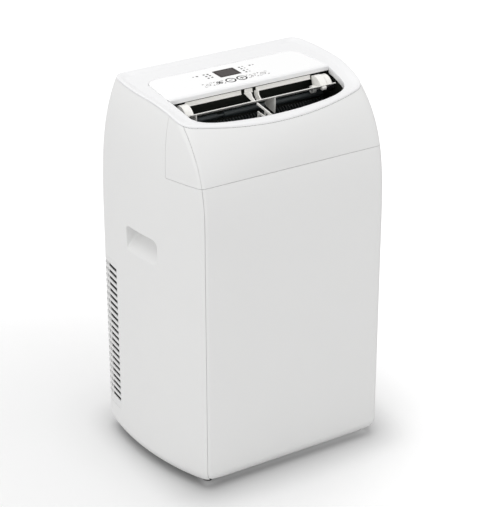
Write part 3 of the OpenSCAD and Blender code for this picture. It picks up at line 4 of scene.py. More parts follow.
import bmesh
import bpy
import numpy as np
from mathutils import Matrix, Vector


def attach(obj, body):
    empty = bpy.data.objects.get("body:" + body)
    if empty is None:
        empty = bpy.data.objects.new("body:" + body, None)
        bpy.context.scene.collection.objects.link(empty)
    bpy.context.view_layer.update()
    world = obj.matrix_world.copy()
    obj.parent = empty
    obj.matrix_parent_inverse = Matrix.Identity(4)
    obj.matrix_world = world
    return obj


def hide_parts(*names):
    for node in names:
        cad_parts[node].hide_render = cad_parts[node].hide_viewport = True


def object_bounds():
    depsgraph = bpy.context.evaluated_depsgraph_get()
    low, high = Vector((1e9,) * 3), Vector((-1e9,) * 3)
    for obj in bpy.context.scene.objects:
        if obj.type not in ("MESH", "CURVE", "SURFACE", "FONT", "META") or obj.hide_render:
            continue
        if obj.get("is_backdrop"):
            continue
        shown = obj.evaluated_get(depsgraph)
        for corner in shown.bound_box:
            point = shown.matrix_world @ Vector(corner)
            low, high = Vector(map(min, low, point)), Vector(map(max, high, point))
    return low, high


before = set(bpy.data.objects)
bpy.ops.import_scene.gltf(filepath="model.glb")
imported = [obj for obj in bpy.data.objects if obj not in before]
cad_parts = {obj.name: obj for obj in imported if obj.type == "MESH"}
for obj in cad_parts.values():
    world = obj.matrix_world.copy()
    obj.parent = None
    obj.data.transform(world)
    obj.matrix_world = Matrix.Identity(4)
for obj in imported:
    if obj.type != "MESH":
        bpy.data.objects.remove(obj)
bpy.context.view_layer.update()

# ---- studio ----
# A pale seamless floor, a white world and three large soft lamps, with the camera standing
# to the left of the front and looking down on the control panel.
scene = bpy.context.scene
scene.view_settings.view_transform = "Standard"

camera_turn = math.radians(-31.6)
camera_rise = math.radians(26.45)
camera_away = 3.303
camera_aim = np.array([0.0004, 0.0, 0.364])
camera_back = np.array([math.sin(camera_turn) * math.cos(camera_rise),
                        -math.cos(camera_turn) * math.cos(camera_rise),
                        math.sin(camera_rise)])
camera_data = bpy.data.cameras.new("camera")
camera_data.sensor_width = 36
camera_data.lens = 129.46
camera = bpy.data.objects.new("camera", camera_data)
camera.location = camera_aim + camera_away * camera_back
camera.rotation_euler = (math.pi / 2 - camera_rise, 0, camera_turn)
scene.collection.objects.link(camera)
scene.camera = camera


def soft_lamp(name, place, aim, size, power):
    """Square area lamp at place, turned to face aim."""
    data = bpy.data.lights.new(name, "AREA")
    data.size = size
    data.energy = power
    lamp = bpy.data.objects.new(name, data)
    lamp.location = place
    way = Vector(aim) - Vector(place)
    lamp.rotation_euler = way.to_track_quat("-Z", "Y").to_euler()
    scene.collection.objects.link(lamp)


soft_lamp("top lamp", (-0.4, 0.3, 3.2), (0, 0, 0.3), 2.6, 26)
soft_lamp("left lamp", (-3.0, -0.8, 1.6), (0, 0, 0.35), 2.2, 14)
soft_lamp("front lamp", (0.8, -3.2, 1.6), (0, 0, 0.35), 2.4, 11)


def sums(tree, operation, a, b):
    """One step of arithmetic between two sockets or numbers."""
    node = tree.nodes.new("ShaderNodeMath")
    node.operation = operation
    for slot, value in ((0, a), (1, b)):
        if hasattr(value, "links"):
            tree.links.new(value, node.inputs[slot])
        else:
            node.inputs[slot].default_value = value
    return node.outputs[0]


world = bpy.data.worlds.new("studio")
world.use_nodes = True
scene.world = world
world_nodes, world_links = world.node_tree.nodes, world.node_tree.links
sky = world_nodes["Background"]
sky.inputs["Color"].default_value = (1, 1, 1, 1)
sky.inputs["Strength"].default_value = 0.72
seen_sky = world_nodes.new("ShaderNodeBackground")
seen_sky.inputs["Color"].default_value = (1, 1, 1, 1)
seen_sky.inputs["Strength"].default_value = 1.0
rays = world_nodes.new("ShaderNodeLightPath")
sky_mix = world_nodes.new("ShaderNodeMixShader")
world_links.new(sums(world.node_tree, "MAXIMUM", rays.outputs["Is Camera Ray"],
                     rays.outputs["Is Glossy Ray"]), sky_mix.inputs["Fac"])
world_links.new(sky.outputs[0], sky_mix.inputs[1])
world_links.new(seen_sky.outputs[0], sky_mix.inputs[2])
world_links.new(sky_mix.outputs[0], world_nodes["World Output"].inputs["Surface"])

floor_half = 6.0
floor_mesh = bpy.data.meshes.new("studio_floor")
floor_mesh.from_pydata([(-floor_half, -floor_half, 0), (floor_half, -floor_half, 0),
                        (floor_half, floor_half, 0), (-floor_half, floor_half, 0)],
                       [], [(0, 1, 2, 3)])
floor = bpy.data.objects.new("studio_floor", floor_mesh)
scene.collection.objects.link(floor)
floor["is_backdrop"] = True
floor_finish = bpy.data.materials.new("paper floor")
floor_finish.use_nodes = True
floor_shader = floor_finish.node_tree.nodes["Principled BSDF"]
floor_shader.inputs["Roughness"].default_value = 0.6
floor_shader.inputs["Specular IOR Level"].default_value = 0.2
floor_tree = floor_finish.node_tree
floor_nodes, floor_links = floor_tree.nodes, floor_tree.links
floor_place = floor_nodes.new("ShaderNodeTexCoord").outputs["Object"]


def floor_vector(operation, a, b=None):
    """One vector step of the floor's finish; b is a constant."""
    node = floor_nodes.new("ShaderNodeVectorMath")
    node.operation = operation
    floor_links.new(a, node.inputs[0])
    if b is not None:
        node.inputs[1].default_value = b
    return node


def spread(tree, value, low, high, near=0.0, far=1.0, ease="LINEAR"):
    """Value taken from near..far to low..high, along a line or an eased curve."""
    node = tree.nodes.new("ShaderNodeMapRange")
    node.interpolation_type = ease
    for label, bound in (("From Min", near), ("From Max", far), ("To Min", low),
                         ("To Max", high)):
        node.inputs[label].default_value = bound
    tree.links.new(value, node.inputs["Value"])
    return node.outputs["Result"]


def floor_fade(value, near, far, low, high):
    """Value eased from low to high between two distances."""
    return spread(floor_tree, value, low, high, near, far, "SMOOTHSTEP")


# painted shadow darkens the paper's colour round the machine's foot; a painted glow, seen
# only by the camera, lights a thin band at the foot and grows away from the machine
floor_far = floor_vector("DISTANCE", floor_place, (-0.45, 0.05, 0)).outputs["Value"]
floor_beside = floor_vector("MAXIMUM", floor_vector(
    "SUBTRACT", floor_vector("ABSOLUTE", floor_place).outputs[0],
    (0.17, 0.13, 0)).outputs[0], (0, 0, 0))
floor_near = floor_vector("LENGTH", floor_beside.outputs[0]).outputs["Value"]
# painted light: emission that only camera rays see, growing with distance from a point left
# of the machine and from its foot, plus 0.10 in a thin band right at the foot
painted_floor_glow = sums(floor_tree, "ADD", floor_fade(floor_far, 0.1, 0.9, 0.0, 0.13),
                  floor_fade(floor_far, 0.5, 1.1, 0.0, 0.20))
for near, far, low, high in ((0.03, 0.2, 0.0, 0.06), (0.0, 0.010, 0.10, 0.0)):
    painted_floor_glow = sums(floor_tree, "ADD", painted_floor_glow,
                      floor_fade(floor_near, near, far, low, high))
# painted shadow: the paper's colour falls from 0.86 far out to 0.60 at the machine's foot
floor_links.new(floor_fade(floor_near, 0.0, 0.11, 0.60, 0.86),
                floor_shader.inputs["Base Color"])
floor_rays = floor_nodes.new("ShaderNodeLightPath")
floor_shader.inputs["Emission Color"].default_value = (1, 1, 1, 1)
floor_links.new(sums(floor_tree, "MULTIPLY", painted_floor_glow, floor_rays.outputs["Is Camera Ray"]),
                floor_shader.inputs["Emission Strength"])
floor_mesh.materials.append(floor_finish)


# ---- moulded plastics ----
# Nearly every outer part is injection-moulded, with a fine grain that the mould's eroded
# wall leaves, and a faint cloudiness; each plastic is this one effect with its own values.
def shade_group(name, sockets):
    """Empty shader group with the sockets given as (in or out, name, kind, value)."""
    tree = bpy.data.node_groups.new(name, "ShaderNodeTree")
    for way, label, kind, value in sockets:
        socket = tree.interface.new_socket(name=label, in_out=way,
                                           socket_type="NodeSocket" + kind)
        if value is not None:
            socket.default_value = value
    return tree, tree.nodes.new("NodeGroupInput"), tree.nodes.new("NodeGroupOutput")


def noise(tree, scale, detail, coords):
    """Noise texture on the given coordinates."""
    node = tree.nodes.new("ShaderNodeTexNoise")
    node.inputs["Detail"].default_value = detail
    if hasattr(scale, "links"):
        tree.links.new(scale, node.inputs["Scale"])
    else:
        node.inputs["Scale"].default_value = scale
    tree.links.new(coords, node.inputs["Vector"])
    return node.outputs["Fac"]


def scaled_colour(tree, colour, factor):
    """Colour times a factor that changes over the surface."""
    node = tree.nodes.new("ShaderNodeVectorMath")
    node.operation = "SCALE"
    tree.links.new(colour, node.inputs[0])
    tree.links.new(factor, node.inputs["Scale"])
    return node.outputs["Vector"]


moulded, moulded_in, moulded_out = shade_group("moulded grain", [
    ("INPUT", "Colour", "Color", (0.8, 0.8, 0.8, 1)), ("INPUT", "Mottle", "Float", 0.02),
    ("INPUT", "Gloss", "Float", 0.4), ("INPUT", "Grain", "Float", 1400.0),
    ("OUTPUT", "Colour", "Color", None), ("OUTPUT", "Roughness", "Float", None),
    ("OUTPUT", "Height", "Float", None)])
moulded_place = moulded.nodes.new("ShaderNodeTexCoord").outputs["Object"]
moulded_cloud = noise(moulded, 9.0, 3, moulded_place)
moulded_speck = noise(moulded, moulded_in.outputs["Grain"], 2, moulded_place)
moulded_tint = sums(moulded, "MULTIPLY", moulded_in.outputs["Mottle"],
                    sums(moulded, "SUBTRACT", moulded_cloud, 0.5))
moulded.links.new(scaled_colour(moulded, moulded_in.outputs["Colour"],
                                sums(moulded, "ADD", moulded_tint, 1.0)),
                  moulded_out.inputs["Colour"])
moulded.links.new(sums(moulded, "ADD", moulded_in.outputs["Gloss"],
                       spread(moulded, moulded_cloud, -0.05, 0.05)),
                  moulded_out.inputs["Roughness"])
moulded.links.new(moulded_speck, moulded_out.inputs["Height"])


def finish_of(name, group, values, relief, **fixed):
    """Material with one shared group for colour, roughness and relief; relief is the
    height of the grain in metres, fixed holds the shader's own constant values."""
    material = bpy.data.materials.new(name)
    material.use_nodes = True
    nodes, links = material.node_tree.nodes, material.node_tree.links
    shader = nodes["Principled BSDF"]
    part = nodes.new("ShaderNodeGroup")
    part.node_tree = group
    for label, value in values.items():
        part.inputs[label].default_value = value
    bump = nodes.new("ShaderNodeBump")
    bump.inputs["Distance"].default_value = relief
    links.new(part.outputs["Colour"], shader.inputs["Base Color"])
    links.new(part.outputs["Roughness"], shader.inputs["Roughness"])
    links.new(part.outputs["Height"], bump.inputs["Height"])
    links.new(bump.outputs["Normal"], shader.inputs["Normal"])
    for label, value in fixed.items():
        shader.inputs[label.replace("_", " ")].default_value = value
    return material


def plastic(name, colour, gloss=0.4, mottle=0.02, grain=1400.0, relief=0.00002, **fixed):
    """Moulded plastic of one colour."""
    return finish_of(name, moulded, {"Colour": (*colour, 1), "Gloss": gloss,
                                     "Mottle": mottle, "Grain": grain}, relief, **fixed)


# ---- side panels ----
# Two large mouldings, mirror images: each is one bowed wall that turns round the rear
# corner and half way round the front edge, with a scooped hand hold and a window for the
# intake grille. Screwed to the rear cover, hooked into the base pan.
MM = 0.001
shell_t = 2.6
skirt_z = 16.0
foot_z = 36.0             # the skirt's tuck and the rounded foot end here
seam_z = 588.0            # cross seam between front panel and hood
seam_gap = 0.4
cheek_y = -68.0
front_y = -153.0
bow_x, bow_y, bow_r = -270.0, 61.0, 500.0       # bow of the sides in plan
rear_y, rear_r = 125.0, 28.0                    # rear corner
rear_seam_x = 161.8
crown_y, crown_z, crown_r = 24.0, 390.0, 310.0  # arc of the top, seen from the side
edge_length = 14.6        # way round the rounded upright edge
side_start, front_start = 7.1, 7.55             # where side and front panel end on it
foot_lift = 4.5           # rise of the lower edge towards its corner
straight_z = 200.0        # a level at which the walls stand upright
grip_top, grip_low = 464.0, 413.0
grip_front, grip_rear = -50.0, 40.0
grip_deep = 36.0
window_low, window_high = 64.0, 368.0
window_front, window_end = 81.0, 173.0
shell_white = plastic("shell white", (0.79, 0.79, 0.785), 0.42)


def tuck(z):
    """Inward tuck of the skirt: 8 mm times the square of the share left to foot_z."""
    return 8 * np.clip((foot_z - z) / (foot_z - skirt_z), 0, None) ** 2


def side_in(z):
    """How far the side draws in: second and fourth powers of the height over 448 mm."""
    s = np.clip(z - 448, 0, None) / 100
    return 1.7 * s ** 2 + 0.6 * s ** 4 + tuck(z)


def front_at(z):
    """Depth of the front at its corner: powers of the height over 473 mm."""
    s = np.clip(z - 473, 0, None) / 100
    return front_y + 3.7 * s ** 2 + 3.2 * s ** 4 + tuck(z)


def top_at(y):
    """Height of the top: level behind crown_y, then an arc of radius crown_r forward."""
    return crown_z + np.sqrt(crown_r ** 2 - np.clip(crown_y - y, 0, None) ** 2)


def shell_top(y):
    """Upper edge of the shells, under the top cover."""
    return top_at(y) - 3.0 - seam_gap / 2


def side_at(y, z):
    """Half width: an arc of radius bow_r round (bow_x, bow_y), less the draw-in."""
    return bow_x + np.sqrt((bow_r - side_in(z)) ** 2 - (y - bow_y) ** 2)


def bezier(a, b, c, t):
    """Quadratic curve from a to c, pulled towards b."""
    t = np.asarray(t)[..., None]
    return a * (1 - t) ** 2 + b * 2 * t * (1 - t) + c * t ** 2


def points(x, y, z):
    """Stacks three arrays, spread to one shape, into points."""
    return np.stack(np.broadcast_arrays(x, y, z), axis=-1).astype(float)


rim_y = -87.0
rim_z = float(shell_top(np.array(rim_y)))


def run_at(z):
    """Run of the rounded upright edge: 9 mm, growing by 11 mm from seam to rim."""
    return 9 + 11 * np.clip((z - seam_z) / (rim_z - seam_z), 0, None) ** 2


def edge_at(zc, ym, zm, t, za=None):
    """Point at share t round the upright edge, from the side to the front. zc is the
    level on the corner, ym and zm the front's middle line at that level, and za the
    level where the edge starts on the side, where it differs from zc."""
    za = zc if za is None else za
    run = run_at(zc)
    yc = front_at(zc)
    xb = side_at(yc, zc)
    u = (xb - run) / xb
    return bezier(points(side_at(yc + run, za), yc + run, za), points(xb, yc, zc),
                  points(xb - run, ym + (yc - ym) * u * u, zm + (zc - zm) * u * u), t)


def foot_part(z):
    """Share of the foot below z: 0 at foot_z, 1 at the lower edge."""
    return np.clip((foot_z - z) / (foot_z - skirt_z), 0, 1)


def foot_round(z):
    """Sideways step of the front panel's seam over its rounded lower corner: a quarter
    of an ellipse, 9 mm wide."""
    return 9 * (1 - np.sqrt(1 - foot_part(z) ** 2))


def below_edge(z, along):
    """Point of the straight cabinet at a distance along from the start of the rounded
    edge on the side: round the edge, then level across the front."""
    p = edge_at(z, front_at(z), z, np.clip(along / edge_length, 0, 1))
    p[..., 0] -= np.clip(along - edge_length, 0, None)
    return p


def rear_corner(z, share):
    """Point at a share round the rear corner, an arc of rear_r tangent to the bow."""
    cy = rear_y - tuck(z)
    bow = bow_r - side_in(z)
    cx = bow_x + np.sqrt((bow - rear_r) ** 2 - (cy - bow_y) ** 2)
    start = np.arctan2(cy - bow_y, cx - bow_x)
    a = start + (math.pi / 2 - start) * share
    return points(cx + rear_r * np.cos(a), cy + rear_r * np.sin(a), z)


def cheek_line(z):
    """Depth of the seam between side panel and cheek: leans back by a fifth."""
    return cheek_y + 0.2 * np.clip(z - seam_z, 0, None)


def side_skin(share, z):
    """The side panel's surface: share 0..1 is the rounded front edge, 1..2 the bow up to
    the cheek's seam, 2..3 the rest of the bow, 3..4 the rear corner, 4..5 the rear."""
    share, z = np.broadcast_arrays(np.asarray(share, float), np.asarray(z, float))
    zl = np.minimum(z, seam_z)
    edge_len = side_start + foot_round(zl)
    corner = rear_corner(z, np.clip(share - 3, 0, 1))
    corner_y = rear_corner(z, 0 * z)[..., 1]
    y0 = front_at(zl) + run_at(zl)
    y_front = y0 + (cheek_line(z) - y0) * np.clip(share - 1, 0, 1)
    y_rear = cheek_line(z) + (corner_y - cheek_line(z)) * np.clip(share - 2, 0, 1)
    y = np.where(share < 2, y_front, y_rear)
    bow = points(side_at(y, z), y, z)
    edge = below_edge(zl, edge_len * (1 - np.clip(share, 0, 1)))
    rear = corner.copy()
    rear[..., 0] += (rear_seam_x - rear[..., 0]) * np.clip(share - 4, 0, 1)
    s = share[..., None]
    return np.where(s < 1, edge, np.where(s <= 3, bow, np.where(s <= 4, corner, rear)))


# distance round the straight part of the cabinet against the share that gives it
ref_share = np.linspace(0, 5, 2001)
ref_line = side_skin(ref_share, straight_z)
ref_away = np.concatenate([[0], np.cumsum(np.linalg.norm(np.diff(ref_line, axis=0), axis=1))])


def away_side(y):
    """Distance round the cabinet to a depth y on its side."""
    return np.interp(y, ref_line[:, 1], ref_away)


def away_rear(x):
    """Distance round the cabinet to a place x on its rear, past the corner."""
    rear_part = ref_share > 4
    return np.interp(-x, -ref_line[rear_part, 0], ref_away[rear_part])


def round_outline(p, low, high, radius):
    """Moves points p round a box straight on to its rounded outline: out from the box
    less the radius, by the radius. Each point has its own."""
    inner_low = low + radius[:, None]
    inner_high = high - radius[:, None]
    c = np.clip(p, inner_low, inner_high)
    way = p - c
    return c + way / np.linalg.norm(way, axis=1)[:, None] * radius[:, None]


def quads(ids, wrap=False):
    """Faces between the neighbours of a grid of point numbers, counter-clockwise seen
    from outside where columns run to the right and rows upwards."""
    if wrap:
        ids = np.concatenate([ids, ids[:, :1]], axis=1)
    return np.stack([ids[:-1, :-1], ids[:-1, 1:], ids[1:, 1:], ids[1:, :-1]],
                    axis=-1).reshape(-1, 4)


def grid_faces(rows, cols, wrap=False):
    """Faces of a grid of rows x cols points numbered row by row."""
    return quads(np.arange(rows * cols).reshape(rows, cols), wrap)


def make_piece(name, verts, faces, material, node=None, slot=None, wall=0.0, bevel=0.0,
               body="cabinet", weld=False, bend=50):
    """Mesh from an array of points in millimetres and one of faces. A wall grows inwards,
    and a bevel rounds the edges that the wall or the shape leaves sharp."""
    mesh = bpy.data.meshes.new(name)
    mesh.from_pydata((np.asarray(verts) * MM).tolist(), [],
                     faces if isinstance(faces, list) else np.asarray(faces).tolist())
    obj = bpy.data.objects.new(name, mesh)
    scene.collection.objects.link(obj)
    clean = bmesh.new()
    clean.from_mesh(mesh)
    loose = [v for v in clean.verts if not v.link_faces]
    bmesh.ops.delete(clean, geom=loose, context="VERTS")
    if weld:
        bmesh.ops.remove_doubles(clean, verts=clean.verts, dist=0.02 * MM)
    clean.to_mesh(mesh)
    clean.free()
    mesh.shade_smooth()
    mesh.materials.append(material)
    if wall:
        solid = obj.modifiers.new("wall", "SOLIDIFY")
        solid.thickness = wall * MM
        solid.offset = -1
    if bevel:
        soft = obj.modifiers.new("soft edge", "BEVEL")
        soft.width = bevel * MM
        soft.segments = 2
        soft.limit_method = "ANGLE"
        soft.angle_limit = math.radians(bend)
        soft.harden_normals = True
    elif not wall:
        mesh.set_sharp_from_angle(angle=math.radians(bend))
    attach(obj, body)
    if node:
        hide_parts(node)
    return obj


def make_pair(name, verts, faces, material, node=None, **rest):
    """The right piece as given, and the left one as its mirror image."""
    for side, sign in (("right", 1), ("left", -1)):
        make_piece(side + name, verts.reshape(-1, 3) * [sign, 1, 1], faces[:, ::sign],
                   material, node=side + node if node else None, **rest)


def steps(low, high, count):
    """Count equal steps from low, without high."""
    return np.linspace(low, high, count, endpoint=False)


# The skin is one grid. Its columns run from the front edge over the cheek's seam, the
# hand hold's block and the window's block to the rear; its rows from the foot over the
# window's and the hand hold's blocks to the cross seam, and on to the top.
edge_cols, cheek_cols, grip_cols, between_cols, window_cols = 6, 5, 28, 5, 40
foot_rows, sill_rows, window_rows, between_rows, grip_rows = 10, 2, 50, 3, 20
waist_rows, upper_rows = 10, 16
block_line = [away_side(grip_front - 12), away_side(grip_rear + 10),
              away_side(window_front - 8), away_rear(window_end - 7)]
block_share = np.interp(np.concatenate([
    steps(block_line[0], block_line[1], grip_cols),
    steps(block_line[1], block_line[2], between_cols),
    steps(block_line[2], block_line[3], window_cols), block_line[3:]]), ref_away, ref_share)
col_share = np.concatenate([steps(0, 1, edge_cols), steps(1, 2, cheek_cols), [2.0],
                            block_share, [5.0]])
grip_c0 = edge_cols + cheek_cols + 1
grip_c1 = grip_c0 + grip_cols
window_c0 = grip_c1 + between_cols
window_c1 = window_c0 + window_cols
seam_low_z = seam_z - seam_gap / 2
row_z = np.concatenate([steps(skirt_z, foot_z, foot_rows),
                        steps(foot_z, window_low - 7, sill_rows),
                        steps(window_low - 7, window_high + 7, window_rows),
                        steps(window_high + 7, grip_low - 9, between_rows),
                        steps(grip_low - 9, grip_top + 10, grip_rows),
                        steps(grip_top + 10, seam_low_z, waist_rows), [seam_low_z]])
window_r0 = foot_rows + sill_rows
window_r1 = window_r0 + window_rows
grip_r0 = window_r1 + between_rows
grip_r1 = grip_r0 + grip_rows
col_top = shell_top(side_skin(col_share, 690.0)[:, 1])
upper_z = seam_low_z + (col_top - seam_low_z) * (
    np.arange(1, upper_rows + 1) / upper_rows)[:, None]
all_z = np.concatenate([np.broadcast_to(row_z[:, None], (len(row_z), len(col_share))),
                        upper_z])
col_y = side_skin(col_share, straight_z)[:, 1]
col_lift = foot_lift * np.clip(1 - (col_y + 150) / 55, 0, 1) ** 2
all_z = all_z + col_lift * foot_part(all_z)
skin = side_skin(np.broadcast_to(col_share, all_z.shape), all_z)
rows, cols = all_z.shape
cell = grid_faces(rows, cols).reshape(rows - 1, cols - 1, 4)
keep = np.ones((rows - 1, cols - 1), bool)
keep[len(row_z) - 1:, :edge_cols + cheek_cols] = False
keep[grip_r0:grip_r1, grip_c0:grip_c1] = False
keep[window_r0:window_r1, window_c0:window_c1] = False


def border(r0, r1, c0, c1):
    """Point numbers round a block of the grid, counter-clockwise."""
    ids = np.arange(rows * cols).reshape(rows, cols)
    return np.concatenate([ids[r0, c0:c1], ids[r0:r1, c1], ids[r1, c1:c0:-1],
                           ids[r1:r0:-1, c0]])


def ring_faces(first, start, rings):
    """Faces from the border first through rings of new points numbered from start."""
    n = len(first)
    more = start + np.arange(rings * n).reshape(rings, n)
    return quads(np.concatenate([first[None], more]), wrap=True)


def flat_place(ids):
    """Distance round the cabinet and height of grid points."""
    return np.stack([np.interp(col_share[ids % cols], ref_share, ref_away),
                     all_z.reshape(-1)[ids]], axis=1)


def on_skin(p, depth=0.0):
    """Points at distance and height p on the side, sunk straight in by depth."""
    out = side_skin(np.interp(p[..., 0], ref_away, ref_share), p[..., 1])
    out[..., 0] -= depth
    return out


# hand hold: rings from the grid's block to the rounded outline, over the edge, down the
# walls, and over the floor to a middle line; the floor's depth eases in from the bottom
# and out again at the top, so that the scoop fades out below and hollows out above
grip_loop = border(grip_r0, grip_r1, grip_c0, grip_c1)
grip_at = flat_place(grip_loop)
grip_low_at = np.array([away_side(grip_front), grip_low])
grip_high_at = np.array([away_side(grip_rear), grip_top])
grip_mid = (grip_low_at + grip_high_at) / 2
upper = grip_at[:, 1] > grip_mid[1]
grip_radius = np.where(upper, np.where(grip_at[:, 0] < grip_mid[0], 14.0, 9.0), 12.0)
grip_line = round_outline(grip_at, grip_low_at, grip_high_at, grip_radius)
grip_spine = np.stack([np.clip(grip_line[:, 0], grip_low_at[0] + 24, grip_high_at[0] - 24),
                       np.full(len(grip_line), grip_mid[1] - 2)], axis=1)
grip_reach = np.linalg.norm(grip_spine - grip_line, axis=1)
grip_rings = [on_skin(grip_at + (grip_line - grip_at) * t) for t in (0.35, 0.65, 0.88, 1.0)]
for inset, rise in ((0.3, 0.008), (0.8, 0.03), (1.2, 0.1), (1.6, 0.3), (2.1, 0.6),
                    (2.8, 0.82), (4.2, 0.95), (6.5, 1.0), (10, 1.0), (15, 1.0), (99, 1.0)):
    share = np.minimum(inset / grip_reach, 1)[:, None]
    p = grip_line + (grip_spine - grip_line) * share
    height = np.clip((p[:, 1] - grip_low) / (grip_top - grip_low), 0, 1)
    grip_rings.append(on_skin(p, grip_deep * height ** 2 * (3 - 2 * height) * rise))
window_loop = border(window_r0, window_r1, window_c0, window_c1)
window_at = flat_place(window_loop)
window_line = round_outline(window_at, np.array([away_side(window_front), window_low]),
                            np.array([away_rear(window_end), window_high]),
                            np.full(len(window_at), 3.0))
window_rings = [on_skin(window_at + (window_line - window_at) * t) for t in (0.5, 1.0)]

side_verts = np.concatenate([skin.reshape(-1, 3)] + grip_rings + window_rings)
grip_start = rows * cols
window_start = grip_start + len(grip_rings) * len(grip_loop)
side_faces = np.concatenate([cell[keep],
                             ring_faces(grip_loop, grip_start, len(grip_rings)),
                             ring_faces(window_loop, window_start, len(window_rings))])
make_pair("_side_shell", side_verts, side_faces, shell_white, node="_side_panel",
          slot="shell_plastic", wall=shell_t, bevel=0.5, weld=True)

# ---- intake grilles ----
# A thin moulding in each side panel's window, with slots that wrap round the rear corner
# between plain uprights. It clips in from inside; a black sheet behind it stands for the
# mesh there and for painted shade inside the slots.
grille_white = plastic("grille white", (0.77, 0.77, 0.765), 0.45)
grille_gap = 0.3
grille_end0 = away_side(window_front) + grille_gap
grille_end1 = away_rear(window_end) - grille_gap
# slots start and stop at these distances from the window's edge, in so many points
grille_runs = [(1.5, 36.0, 16), (38.5, 43.5, 3), (47.0, 72.0, 14), (75.0, 100.0, 12)]
grille_away = np.concatenate([[grille_end0], grille_end0 + np.concatenate(
    [np.linspace(a, b, n) for a, b, n in grille_runs]), [grille_end1]])
grille_away = grille_away[grille_away <= grille_end1]
slot_tall, slot_step = 7.2, 12.75
slot_base = window_low + 21.5 + slot_step * np.arange(22)
grille_z = np.concatenate([[window_low + grille_gap], np.stack(
    [slot_base - slot_tall / 2, slot_base + slot_tall / 2], axis=1).reshape(-1),
    [window_high - grille_gap]])
in_slot = np.zeros(len(grille_away) - 1, bool)
middle = (grille_away[:-1] + grille_away[1:]) / 2 - grille_end0
for start, stop, _ in grille_runs:
    in_slot |= (middle > start) & (middle < stop)
in_slot[-1] = False
grille_rows = np.arange(len(grille_z) - 1) % 2 == 1
grille_cell = grid_faces(len(grille_z), len(grille_away)).reshape(
    len(grille_z) - 1, len(grille_away) - 1, 4)
grille_keep = ~(grille_rows[:, None] & in_slot[None])
grille_skin = on_skin(np.stack(np.broadcast_arrays(grille_away[None], grille_z[:, None]),
                               axis=-1))
# painted shade: a black sheet 5 mm behind the grille, for the mesh and the dark inside
backing_depth = 5.0
grille_out = np.cross(np.gradient(grille_skin, axis=1), np.gradient(grille_skin, axis=0))
grille_out /= np.linalg.norm(grille_out, axis=-1)[..., None]
mesh_and_shade_verts = grille_skin - backing_depth * grille_out
mesh_and_shade_black = plastic("mesh and shade black", (0.045, 0.047, 0.047), 0.6, mottle=0.3, grain=500.0,
                       relief=0.0002, Specular_IOR_Level=0.2)
make_pair("_grille_mesh_and_shade", mesh_and_shade_verts, grille_cell.reshape(-1, 4), mesh_and_shade_black,
          slot="black_plastic", wall=0.6)
make_pair("_grille_skin", grille_skin, grille_cell[grille_keep], grille_white,
          node="_intake_grille", slot="shell_plastic", wall=2.2, bevel=0.3)

# ---- front panel ----
# One flat moulding from the base to the cross seam, its upright edges rounded to meet
# the side panels; it clips to both of them.
def both_halves(half):
    """Grid whose columns run to the middle line, with its mirror image before it."""
    return np.concatenate([half * [-1, 1, 1], half[:, -2::-1]], axis=1)


front_z = np.concatenate([steps(skirt_z, foot_z, 10), steps(foot_z, 448, 12),
                          np.linspace(448, seam_low_z, 12)])[:, None]
front_share = np.concatenate([steps(0, 0.045, 6), np.linspace(0.045, 1, 20)])
half_len = side_at(front_at(front_z), front_z) - run_at(front_z) + edge_length
front_along = front_start + foot_round(front_z)
front_lift = foot_lift * np.clip(1 - 190 * front_share / 40, 0, 1) ** 2
front_half = below_edge(front_z + front_lift * foot_part(front_z),
                        front_along + (half_len - front_along) * front_share)
front_half[:, -1, 0] = 0
front_skin = both_halves(front_half)
make_piece("front_panel_shell", front_skin.reshape(-1, 3),
           grid_faces(*front_skin.shape[:2]), shell_white, node="front_panel",
           slot="shell_plastic", wall=shell_t, bevel=0.5)

# ---- front hood and cheeks ----
# The hood rises from the cross seam and rolls back to the top cover's bowed front edge;
# a small cheek on each side carries its rounded edge on to the side. Clipped from inside.
hood_z0 = seam_z + seam_gap / 2
hood_roll = 0.86          # share of a quarter circle over which the hood rolls back
crease_front, crease_side = 0.509, 0.492        # hood and cheek meet half way round
mid_y1 = rim_y - 27
mid_z1 = float(shell_top(np.array(mid_y1)))
hood_v = np.linspace(0, 1, 33)[:, None]
rolled = (1 - np.sqrt(1 - (hood_v * hood_roll) ** 2)) / (1 - math.sqrt(1 - hood_roll ** 2))
hood_mid_y = front_at(np.array(hood_z0)) + (mid_y1 - front_at(np.array(hood_z0))) * rolled
hood_mid_z = hood_z0 + (mid_z1 - hood_z0) * hood_v
hood_corner_z = hood_z0 + (rim_z - hood_z0) * hood_v
edge_y1 = front_at(rim_z) + run_at(rim_z)
hood_edge_z = hood_z0 + (float(shell_top(edge_y1)) - hood_z0) * hood_v
hood_edge = edge_at(hood_corner_z, hood_mid_y, hood_mid_z,
                    np.linspace(crease_front, 1, 9)[None], hood_edge_z)
hood_yc = front_at(hood_corner_z)
hood_xb = side_at(hood_yc, hood_corner_z)
hood_u = (hood_xb - run_at(hood_corner_z)) / hood_xb * np.linspace(1, 0, 15)[None, 1:]
hood_face = points(hood_xb * hood_u, hood_mid_y + (hood_yc - hood_mid_y) * hood_u ** 2,
                   hood_mid_z + (hood_corner_z - hood_mid_z) * hood_u ** 2)
hood_half = np.concatenate([hood_edge, hood_face], axis=1)
hood_half[..., 2] += (shell_top(hood_half[-1, :, 1]) - hood_half[-1, :, 2]) * hood_v
hood_skin = both_halves(hood_half)
make_piece("hood_shell", hood_skin.reshape(-1, 3), grid_faces(*hood_skin.shape[:2]),
           shell_white, node="front_hood", slot="shell_plastic", wall=shell_t, bevel=0.4)

